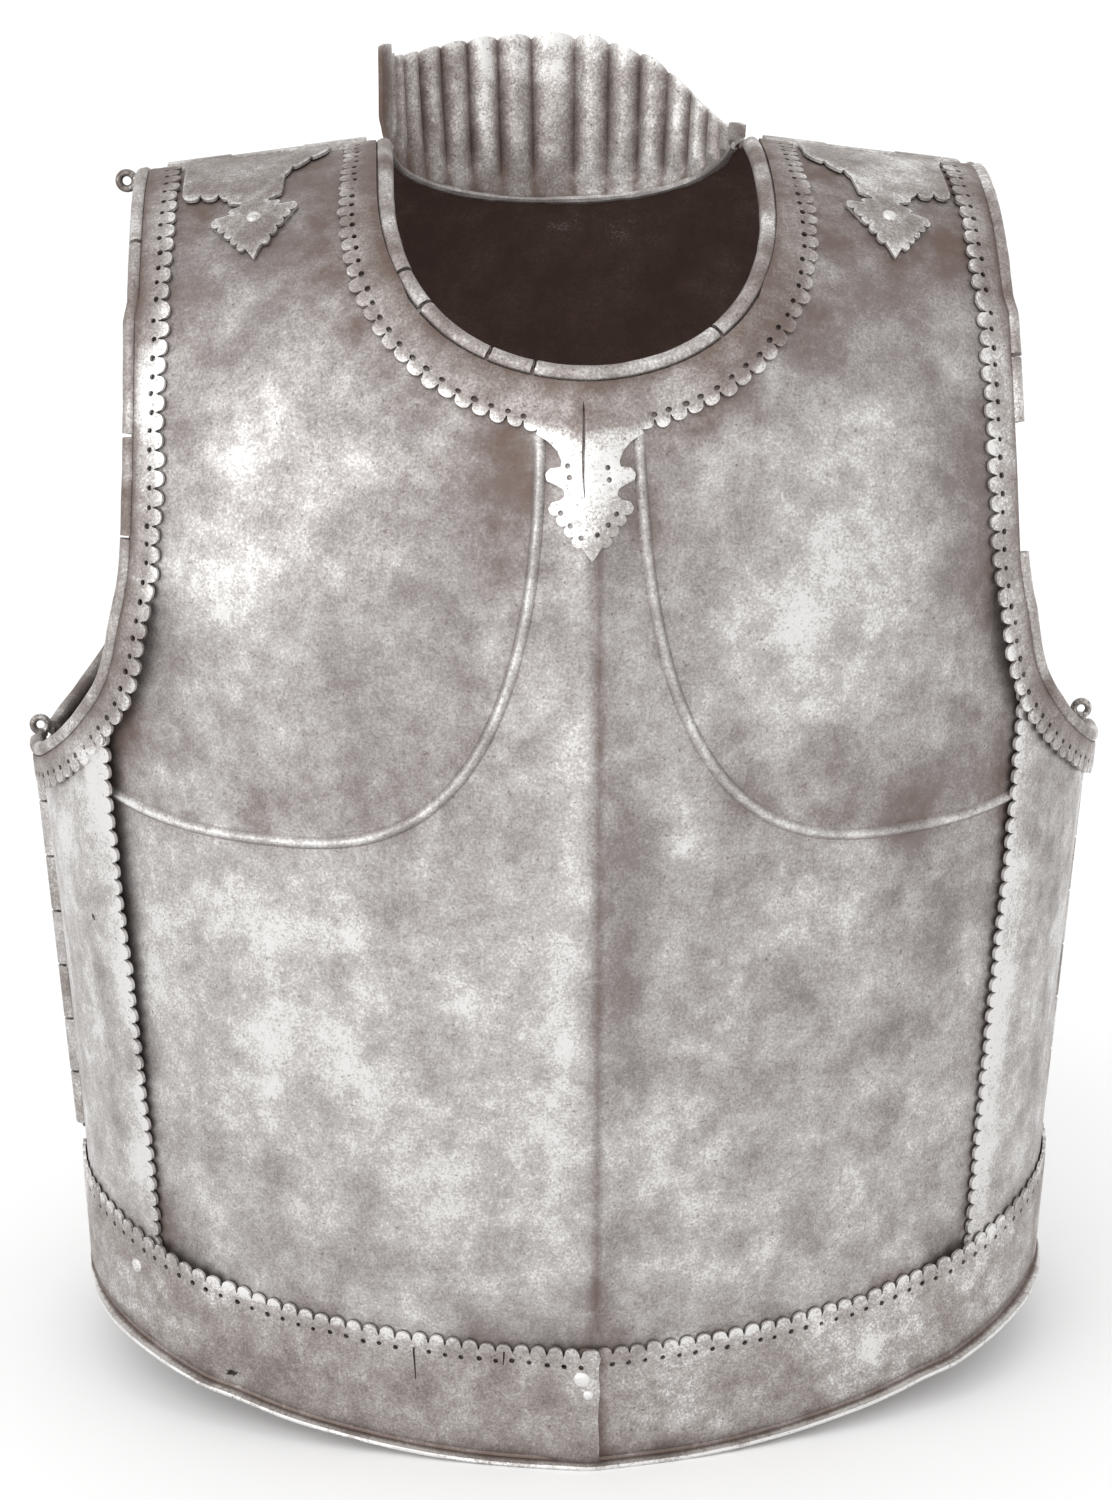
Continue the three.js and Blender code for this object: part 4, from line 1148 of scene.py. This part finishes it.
def pendant_crease():
    """The dark crease down the middle of the fleur, as a thin outline in front view."""
    z = np.linspace(PENDANT_CREASE["top"], PENDANT_CREASE["bottom"], 15)
    share = np.linspace(0, 1, 15)
    line = PENDANT_CREASE["x"] + 0.45 * wobble(np.column_stack([z * 0, z * 0, z]), 6.0, 8)
    half = PENDANT_CREASE["half"] * np.sin(share * np.pi) ** 0.5 * (1 - 0.5 * share) + 0.06
    return np.concatenate([line + half, (line - half)[::-1]]), np.concatenate([z, z[::-1]])


def pendant(path, bend):
    """The fleur under the neck band, as distances along and away from the band's edge."""

    def front_view(flat):
        return bend(flat[:, 0], flat[:, 1], BAND, lambda p: GAP)[:, [0, 2]]

    def measured(x, z):
        """The place on the flat band that bends onto a place in front view, found step by step."""
        goal = np.column_stack([x, z])
        flat = np.column_stack([path.length / 2 - goal[:, 0], NECK["front"]["centre"] - goal[:, 1]])
        flat[:, 1] -= NECK["front"]["depth"]
        step = 0.5
        for _ in range(14):
            miss = goal - front_view(flat)
            by_s = (front_view(flat + [step, 0]) - front_view(flat - [step, 0])) / (2 * step)
            by_d = (front_view(flat + [0, step]) - front_view(flat - [0, step])) / (2 * step)
            size = by_s[:, 0] * by_d[:, 1] - by_s[:, 1] * by_d[:, 0]
            move_s = (miss[:, 0] * by_d[:, 1] - miss[:, 1] * by_d[:, 0]) / size
            move_d = (by_s[:, 0] * miss[:, 1] - by_s[:, 1] * miss[:, 0]) / size
            flat = flat + 0.7 * np.clip(np.column_stack([move_s, move_d]), -4, 4)
        return flat

    corners = np.column_stack(list(PENDANT.values()))
    upper = Path(np.column_stack([corners, np.zeros(len(corners))]))
    upper = upper.at(np.linspace(0, upper.length, 46))[:, :2]
    half = np.concatenate([upper, lobed(**PENDANT_LOBES), [[1.6, PENDANT_TIP + 2.2], [0, PENDANT_TIP]]])
    outline = np.concatenate([half, (half * [-1, 1])[::-1][1:]])
    holes = [hole(x, z, 0.9) for x, z in zip(*PENDANT_HOLES.values())]
    return {
        "outline": measured(*outline.T),
        "holes": [measured(*ring.T) for ring in holes],
        "crease": measured(*pendant_crease()),
    }


NECK_BREAKS = [0.36, 0.553, 0.60, 0.682, 0.727]  # cracks of the neck roll, as shares of its length
ARM_BREAKS = {"left": [0.16, 0.395, 0.51], "right": [0.31]}
ARM_MISSING = {"right": (0.386, 0.532)}
# Where a painted highlight crosses each arm band, as a share of its length
ARM_PAINTED_HIGHLIGHT = {"left": 0.36, "right": 0.44}
CRACK = {"neck": 0.35, "arm": 0.3, "torn": 0.8}  # half widths, and how ragged the ends are


def build_neck():
    path = neck_path()

    def width(s):
        swell = np.sin(np.asarray(s) / path.length * np.pi) ** 2
        return lerp(NECK_BAND["top"], NECK_BAND["bottom"], swell)

    def grime(s, d):
        # Painted shade along the fleur's crease; darker next to the roll, and brown dirt all over
        crease = 0.5 * np.exp(-np.abs(s - path.length / 2 + PENDANT_CREASE["x"]) / 2.0) * smooth(40, 30, d)
        brown = 0.45 + 0.25 * wobble(np.column_stack([s, d, s * 0]), 18.0, 19)
        return np.clip(brown + crease + 0.5 * np.exp(-(d - 3) / 2.5), 0, 1) - 0.6 * smooth(18, 25, d)

    charm = pendant(path, frame_along(path, 1))
    band = border(path, 1, width, lambda p: GAP, 41, NECK_BAND["pitch"], charm, grime)
    piece("neck_band_steel", [band], "breast", "neck_band", BORDER_STEEL)
    ends = [0, *(np.array(NECK_BREAKS) * path.length), path.length]
    rolls = [
        tube(path, ROLL["radius"], a + CRACK["neck"], b - CRACK["neck"], seed=50 + k, torn=CRACK["torn"])
        for k, (a, b) in enumerate(zip(ends[:-1], ends[1:]))
    ]
    piece("neck_roll", rolls, "breast", "neck_binding", BORDER_STEEL)


def build_arms(word, side):
    path = arm_path("front", side)

    def lift(p):
        return lerp(ARM_BAND["over_panel"], GAP, smooth(ARM_BAND["from"], ARM_BAND["to"], p[:, 2]))

    def width(s):
        return np.full(np.shape(s), ARM_BAND["width"])

    def grime(s, d):
        # Darker towards the shoulder end and next to the roll
        upper = 0.35 * smooth(0.2, 0.05, s / path.length)
        return np.clip(0.1 + upper + 0.55 * np.exp(-(d - 3) / 2.5), 0, 1)

    # Painted highlight across the band
    def painted_highlight(s, d):
        return 0.8 * np.exp(-(((s / path.length - ARM_PAINTED_HIGHLIGHT[word]) / 0.07) ** 2))

    band = border(path, -side, width, lift, 61 + side, SCALLOP["pitch"], grime=grime, painted_highlight=painted_highlight)
    piece(f"arm_band_{word}_steel", [band], "breast", f"arm_band_{word}", BORDER_STEEL)
    gaps = [(b * path.length - CRACK["arm"], b * path.length + CRACK["arm"]) for b in ARM_BREAKS[word]]
    if word in ARM_MISSING:
        gaps.append(tuple(t * path.length for t in ARM_MISSING[word]))
    gaps = [(0, 0), *sorted(gaps), (path.length, path.length)]
    raised = Path(onto("front", path.points, lift(path.points) - GAP))
    rolls = [
        tube(raised, ROLL["arm_radius"], a[1], b[0], seed=70 + k, torn=CRACK["torn"])
        for k, (a, b) in enumerate(zip(gaps[:-1], gaps[1:]))
    ]
    piece(f"arm_roll_front_{word}", rolls, "breast", f"arm_binding_front_{word}", BORDER_STEEL)
    back = arm_path("back", side)
    roll = tube(back, ROLL["arm_radius"], 0, back.length, seed=80)
    piece(f"arm_roll_back_{word}", [roll], "back", f"arm_binding_back_{word}", HINGE_STEEL)


# Turn from the middle, height and radius of the waist band's rivets
WAIST_RIVETS = {"angle": [-0.009, -0.001, -1.045], "z": [35.0, 29.0, 51.0], "radius": [3.0, 1.9, 2.8]}
WAIST_RIVET_HEIGHT = 0.9
# Place along the band, top, bottom and half width of its splits
WAIST_SPLITS = {"u": [-62.0, -30.0], "top": [42.0, 43.4], "bottom": [29.0, 38.0], "half": [0.45, 0.4]}
# Place, height and half sizes of the hole worn through the band
WAIST_DAMAGE = {"u": -133.0, "z": 20.0, "half_u": 2.6, "half_z": 1.5}
WAIST_LAP = {"rise": 1.7, "from": -22.0, "to": -2.0, "left_end": 3.4, "right_start": -4.0}
# Section of the turned-out rim: share of its reach, height, wear and dirt
FLANGE_PROFILE = {
    "share": [-0.35, 0.6, 0.95, 1.0, 0.93, 0.6, 0.12, 0.0, -0.35],
    "height": [0.0, 0.0, 0.15, 0.8, 1.6, 1.75, 1.9, 2.9, 2.9],
    "wear": [0, 0.4, 0.8, 0.9, 0.8, 0.7, 0, 0, 0],
    "grime": [0.5, 0.2, 0, 0, 0, 0.1, 1, 0.5, 0.5],
}


def waist_wounds():
    """The splits and the ragged hole of the front waist band as flat outlines."""
    made = []
    for u, top, bottom, half in zip(*WAIST_SPLITS.values()):
        z = np.linspace(top, bottom, 9)
        bend = 0.5 * wobble(np.column_stack([z * 0 + u, z, z * 0]), 4.0, 6)
        wide = half * np.linspace(1, 0.3, 9)
        made.append(np.concatenate([
            np.column_stack([u + bend + wide, z]),
            np.column_stack([u + bend - wide, z])[::-1],
        ]))
    spread = np.random.default_rng(12)
    cos, sin = circle(14)
    torn = spread.uniform(0.55, 1.2, 14)
    around = np.column_stack([WAIST_DAMAGE["half_u"] * cos * torn, WAIST_DAMAGE["half_z"] * sin * torn])
    made.append(around + [WAIST_DAMAGE["u"], WAIST_DAMAGE["z"]])
    return made


def build_waist(half, body):
    end = angle_near(half, WAIST_BAND["end"])
    over = WAIST_BAND["over_panel"] if half == "front" else 2 * GAP
    girth = np.linspace(-end, end, 241)
    arc = Path(skin(half, girth, level_of(40.0)))
    middle = arc.length / 2

    def angle_of(u):
        return np.interp(u + middle, arc.lengths, girth)

    def lift(angle):
        return lerp(GAP, over, smooth(0.7, 0.82, np.abs(angle)))

    def top(u):
        turn = np.abs(np.sin(angle_of(u))) ** WAIST_BAND["power"]
        return lerp(WAIST_BAND["front"], WAIST_BAND["side"], turn)

    def corner(u):
        return rim_height(angle_of(u)) + FLANGE["lip"]

    def flat(u):
        return 0.0 * u

    def lapped(u):
        return WAIST_LAP["rise"] * smooth(WAIST_LAP["from"], WAIST_LAP["to"], u)

    def shade_under_lap(u):
        # Painted shadow beside the edge of the length that laps over
        return 0.9 * np.exp(-np.maximum(u - 3, 0) / 2.5) + 0.2 * smooth(40, 10, u)

    def half_band(start, stop, rise, seed, dirt_and_shade, wounds=()):
        """A length of the band that rises where it laps over another, with darkening of its own: painted
        shadow beside the lap for the lower length.
        """

        def place(u, z, offset):
            angle = angle_of(u)
            point = skin(half, angle, level_of(z), offset + lift(angle) + rise(u))
            point[:, 2] = z
            return point

        def wear(u, z):
            return smooth(*LOBE_WEAR, z - top(u)) * patchy(u, z, seed)

        def grime(u, z):
            return 0.45 * np.exp(-(z - corner(u)) / 3) + dirt_and_shade(u)

        if half == "front":
            places, outs, notches = scallops(stop - start, seed)
        else:
            places, outs, notches = np.linspace(0, stop - start, 120), np.zeros(120), []
        u = start + places
        below = np.linspace(stop, start, 70)
        end_z = np.linspace(float(top(stop)), float(corner(stop)), 16)[1:-1]
        end_u = stop - 0.6 - 0.6 * wobble(np.column_stack([end_z * 0, end_z, end_z * 0]), 6.0, 5)
        outline = np.concatenate([
            np.column_stack([u, top(u) + outs]),
            np.column_stack([end_u, end_z]),
            np.column_stack([below, corner(below)]),
        ])
        punched = notch_holes(notches, lambda at: float(top(start + at)), seed, WAIST_BAND["hole_in"])
        clear = [all(abs(start + s - w[:, 0].mean()) > 2.5 for w in wounds) for s, _, _ in punched]
        holes = [hole(start + s, z, r) for (s, z, r), good in zip(punched, clear) if good]
        return cut_sheet(outline, [*holes, *wounds], SHEET_STEP["waist"], place, wear=wear, grime=grime)

    if half == "front":
        parts = [
            half_band(-middle, WAIST_LAP["left_end"], lapped, 91, flat, waist_wounds()),
            half_band(WAIST_LAP["right_start"], middle, flat, 92, shade_under_lap),
        ]
        for angle, z, radius in zip(*WAIST_RIVETS.values()):
            on_lap = WAIST_LAP["rise"] if abs(angle) < 0.1 else 0
            offset = BAND + (float(lift(angle)) + on_lap)
            head = rivet(lambda k: skin(half, angle, level_of(z), offset + k), radius, WAIST_RIVET_HEIGHT)
            parts.append(head)
    else:
        parts = [half_band(-middle, middle, flat, 93, flat)]
    parts.append(flange(half, angle_of, lift, middle))
    name = f"waist_band_{half}"
    piece(f"{name}_steel", parts, body, name, BORDER_STEEL)


def flange(half, angle_of, lift, middle):
    """The turned-out lower rim, its lip a little uneven."""
    u = np.linspace(-middle, middle, 300)
    angle = angle_of(u)
    reach = lerp(FLANGE["reach"], FLANGE["end"], smooth(1.1, 1.5, np.abs(angle)))
    rings = []
    for share, height in zip(FLANGE_PROFILE["share"], FLANGE_PROFILE["height"]):
        offset = lift(angle) + (BAND + reach * share if share >= 0 else 0.1)
        on_lip = share > 0.5 and height > 0.5
        uneven = 0.22 * on_lip * wobble(np.column_stack([u, u * 0, u * 0 + share]), 7.0, 17)
        z = rim_height(angle) + height
        point = skin(half, angle, level_of(z), offset + uneven)
        point[:, 2] = z + uneven
        rings.append(point)
    wear, grime = (np.tile(FLANGE_PROFILE[word], len(u)) for word in ("wear", "grime"))
    return rings_mesh(np.stack(rings, axis=1), wear=wear, grime=grime)


# Hinges on the shoulders and sides

LEAF = {
    "half": [9.4, 9.0, 6.2, 4.6, 4.8, 8.2, 9.0, 7.8, 9.6, 13.2],
    "y": [0.0, -2.4, -3.6, -4.2, -5.2, -5.8, -7.0, -7.6, -8.0, -8.2],
}
LEAF_LOBES = {"start": (14.0, -8.8), "end": (2.8, -22.4), "count": 5, "depth": 1.7}
LEAF_TIP = -26.4
LEAF_RIVET_Y = -12.0
LEAF_RIVET = {"radius": 2.6, "height": 1.3}
SHOULDER_LOBE = 2.6
SHOULDER_HEM = 3.4  # a plate ends this far from the pin's middle
STRAP_RIVET = {"radius": 2.4, "height": 1.1}


def shoulder_edge(x, side):
    """Where the front edge of a shoulder plate runs, further forward in its middle."""
    plate = SHOULDER_PLATE[word_of(side)]
    share = (np.abs(x) - plate["inner"]) / (plate["outer"] - plate["inner"])
    ends = np.where(share < 0.5, plate["inner_front"], plate["outer_front"])
    return lerp(plate["root"], ends, np.abs(2 * share - 1))


def shoulder_sheet(half, side):
    """A hinge plate on the shoulder, with a scalloped edge and a leaf in front."""
    plate = SHOULDER_PLATE[word_of(side)]
    inner, outer = plate["inner"], plate["outer"]
    middle = (inner + outer) / 2
    if half == "front":
        places, outs, _ = scallops(outer - inner, 101 + side, SHOULDER_LOBE)
        x = inner + places
        leaf = np.concatenate([np.column_stack(list(LEAF.values())), lobed(**LEAF_LOBES), [[0, LEAF_TIP]]])
        root = leaf[0, 0] + 0.5
        near = leaf * [-1, 1] + [middle, plate["root"]]
        far = leaf[::-1][1:] + [middle, plate["root"]]
        edge = np.column_stack([x, shoulder_edge(x, side) - outs])
        edge = np.concatenate([edge[x < middle - root], near, far, edge[x > middle + root]])
    else:
        edge = np.column_stack([np.linspace(inner, outer, 20), np.full(20, SHOULDER_BACK)])
    hem = -SHOULDER_HEM if half == "front" else SHOULDER_HEM
    outline = np.concatenate([edge, [[outer, hem], [inner, hem]]])
    outline = outline * [side, 1]

    def place(x, y, offset):
        point = np.column_stack([x, y, np.full(len(x), SHOULDER_TOP)])
        return onto(half, point, GAP + offset)

    def wear(x, y):
        past = shoulder_edge(x, side) - y
        lobes = 0.5 * smooth(-1, 2, past) * smooth(6, 3, past)
        return lobes * patchy(x, y, 3) + 0.6 * smooth(-20, -25, y - plate["root"])

    return cut_sheet(outline, [], SHEET_STEP["shoulder"], place, pillow=0.35, wear=wear, rim_wear=0.5)


def build_shoulder_hinge(word, side):
    line = shoulder_line(side)
    plate = SHOULDER_PLATE[word]
    middle = side * (plate["inner"] + plate["outer"]) / 2
    spot = np.array([[middle, plate["root"] + LEAF_RIVET_Y, SHOULDER_TOP]])
    head = rivet(lambda k: onto("front", spot, GAP + BAND + k)[0], **LEAF_RIVET)
    front = [shoulder_sheet("front", side), *knuckles(line, 1, -1, BAND), head]
    node = f"shoulder_hinge_front_{word}"
    piece(f"shoulder_plate_front_{word}", front, "breast", node, HINGE_STEEL)
    back = [shoulder_sheet("back", side), *knuckles(line, 0, 1, BAND)]
    node = f"shoulder_hinge_back_{word}"
    piece(f"shoulder_plate_back_{word}", back, "back", node, HINGE_STEEL)
    pins = pin(line, SHOULDER_PIN["before"], SHOULDER_PIN[word], looped=word == "left")
    piece(f"shoulder_pin_{word}_iron", pins, "back", f"shoulder_pin_{word}", PIN_IRON)


def build_side_hinge(word, side):
    line = side_line(side)
    low, high, wide = (SIDE_HINGE[key] for key in ("low", "high", "strap"))
    near, far = angle_near("back", HINGE["edge"]), angle_near("back", HINGE["edge"] + wide)
    outline = np.array([(0, low), (wide, low), (wide, high), (0, high)])

    def place(u, h, offset):
        return skin("back", side * lerp(near, far, u / wide), level_of(h), GAP + offset)

    strap = cut_sheet(outline, [], SHEET_STEP["strap"], place, PLATE)
    parts = [strap, *knuckles(line, 0, 1, PLATE)]
    middle = side * (near + far) / 2
    for h in np.linspace(low, high, 60)[6::12]:
        parts.append(rivet(lambda k: skin("back", middle, level_of(h), GAP + PLATE + k), **STRAP_RIVET))
    piece(f"side_hinge_{word}_steel", parts, "back", f"side_hinge_back_{word}", HINGE_STEEL)
    piece(f"side_pin_{word}_iron", pin(line, 2, 1), "back", f"side_pin_{word}", PIN_IRON)


# Collar

def build_collar():
    """Round flutes fanning up from the back's neck edge to a lobed top."""
    columns = FLUTE["count"] * FLUTE["columns"]
    t = np.linspace(0, 1, columns + 1)
    x, z = neck_curve("back", 0.5, t)
    base = skin_at("back", x, z, GAP)
    along = np.gradient(base[:, :2], axis=0)
    facing = np.column_stack([along[:, 1], -along[:, 0], np.zeros(len(t))])
    facing /= np.linalg.norm(facing, axis=1, keepdims=True)
    share = -x / x[0]
    phase = (t * FLUTE["count"]) % 1
    spread = np.random.default_rng(7)
    uneven = 1 + spread.uniform(-0.25, 0.25, FLUTE["count"] + 1)[(t * FLUTE["count"]).astype(int)]
    lobe = np.sin(phase * np.pi) ** 0.6 * uneven
    ends = np.where(share > 0, COLLAR["left_end"], COLLAR["right_end"])
    arch = lerp(COLLAR["height"], ends, np.abs(share) ** COLLAR["arch"])
    height = arch + FLUTE["lobe"] * lobe

    def row(v, out):
        h = v * height
        flute = -FLUTE["depth"] * (2 * np.sin(phase * np.pi) ** 0.8 - 1) * smooth(0.02, 0.3, v)
        lean = COLLAR["lean"] * h * np.abs(facing[:, 1])
        point = base + facing * (out + flute + lean)[:, None]
        point = point + facing * (0.5 * wobble(base + [0, 0, 1] * h[:, None], 22.0, 9))[:, None] * v
        point[:, 2] = base[:, 2] + h
        return point

    steps = np.linspace(0, 1, 26)
    skirt = lambda offset: skin_at("back", x, z - COLLAR["overlap"], offset)
    outer = np.stack([skirt(GAP + BAND), *[row(v, BAND) for v in steps]], axis=1)
    inner = np.stack([skirt(GAP), *[row(v, 0.0) for v in steps]], axis=1)
    rows = len(steps) + 1
    triangles = grid_triangles(columns + 1, rows)
    heights = np.concatenate([[0], steps])
    valley = (1 - np.sin(phase * np.pi))[:, None] * np.ones(rows)
    brown = smooth(0.25, -0.9, -share)[:, None] * 0.35
    dirt_and_shade = np.clip(0.5 * valley**1.5 + 0.4 * np.exp(-heights / 0.1)[None, :] + brown, 0, 1)
    worn = np.clip(0.35 * (1 - valley) + 0.6 * smooth(0.93, 1.0, heights)[None, :], 0, 1).ravel()
    sheet = thick_sheet(outer.reshape(-1, 3), inner.reshape(-1, 3), triangles, worn, dirt_and_shade.ravel())
    sheet["inner"][:] = 0
    piece("collar_steel", [sheet], "back", "collar", COLLAR_STEEL)


build_breast()
build_back()
build_neck()
for word, side in SIDES.items():
    build_side_panel(word, side)
    build_arms(word, side)
    build_shoulder_hinge(word, side)
    build_side_hinge(word, side)
build_waist("front", "breast")
build_waist("back", "back")
build_collar()


# Floor, light and camera, in metres

FLOOR = {"reach": 60.0, "grain": 60, "dark": 0.92, "light": 0.95}
SUN = {"direction": (0.55, 0.8, -0.45), "strength": 1.0, "angle": 80}
KEY = {"place": (-1.3, -1.5, 0.6), "target": (0, 0, 0.24), "size": 1.2, "energy": 2}
WORLD_STRENGTH = 1.06
# The photograph's place: degrees left of the middle and above the horizon
CAMERA = {"azimuth": -3.4, "elevation": 15.8, "distance": 1.1, "lens": 70.03, "sensor": 36.0}
CAMERA_TARGET = (-0.0038, 0.0088, 0.226)


def placed(name, data):
    thing = bpy.data.objects.new(name, data)
    bpy.context.scene.collection.objects.link(thing)
    return thing


def turned(direction):
    return Vector(direction).to_track_quat("-Z", "Y").to_euler()


def build_floor():
    mesh = bpy.data.meshes.new("floor")
    reach = FLOOR["reach"]
    corners = [(-reach, -reach, 0), (reach, -reach, 0), (reach, reach, 0), (-reach, reach, 0)]
    mesh.from_pydata(corners, [], [(0, 1, 2, 3)])
    material = bpy.data.materials.new("floor_paper")
    material.use_nodes = True
    nodes, links = material.node_tree.nodes, material.node_tree.links
    shader = nodes["Principled BSDF"]
    shader.inputs["Roughness"].default_value = 0.9
    grain = nodes.new("ShaderNodeTexNoise")
    grain.inputs["Scale"].default_value = FLOOR["grain"]
    tone = nodes.new("ShaderNodeMapRange")
    tone.inputs["To Min"].default_value = FLOOR["dark"]
    tone.inputs["To Max"].default_value = FLOOR["light"]
    links.new(grain.outputs["Fac"], tone.inputs["Value"])
    links.new(tone.outputs["Result"], shader.inputs["Base Color"])
    mesh.materials.append(material)
    placed("floor", mesh)


def build_light():
    """A broad soft light that reaches the whole floor alike, a weak round light and a white room."""
    sun = bpy.data.lights.new("window", "SUN")
    sun.energy = SUN["strength"]
    sun.angle = math.radians(SUN["angle"])
    placed("window", sun).rotation_euler = turned(SUN["direction"])
    key = bpy.data.lights.new("key", "AREA")
    key.shape = "DISK"
    key.size = KEY["size"]
    key.energy = KEY["energy"]
    lamp = placed("key", key)
    lamp.location = KEY["place"]
    lamp.rotation_euler = turned(Vector(KEY["target"]) - lamp.location)
    world = bpy.data.worlds.new("studio")
    bpy.context.scene.world = world
    world.use_nodes = True
    background = world.node_tree.nodes["Background"]
    background.inputs["Color"].default_value = (1, 1, 1, 1)
    background.inputs["Strength"].default_value = WORLD_STRENGTH


def build_camera():
    azimuth, elevation = math.radians(CAMERA["azimuth"]), math.radians(CAMERA["elevation"])
    across, up = math.cos(elevation), math.sin(elevation)
    away = Vector((math.sin(azimuth) * across, -math.cos(azimuth) * across, up))
    lens = bpy.data.cameras.new("camera")
    lens.sensor_width = CAMERA["sensor"]
    lens.lens = CAMERA["lens"]
    camera = placed("camera", lens)
    camera.location = Vector(CAMERA_TARGET) + away * CAMERA["distance"]
    camera.rotation_euler = turned(Vector(CAMERA_TARGET) - camera.location)
    bpy.context.scene.camera = camera


build_floor()
build_light()
build_camera()
bpy.context.scene.view_settings.view_transform = "Standard"
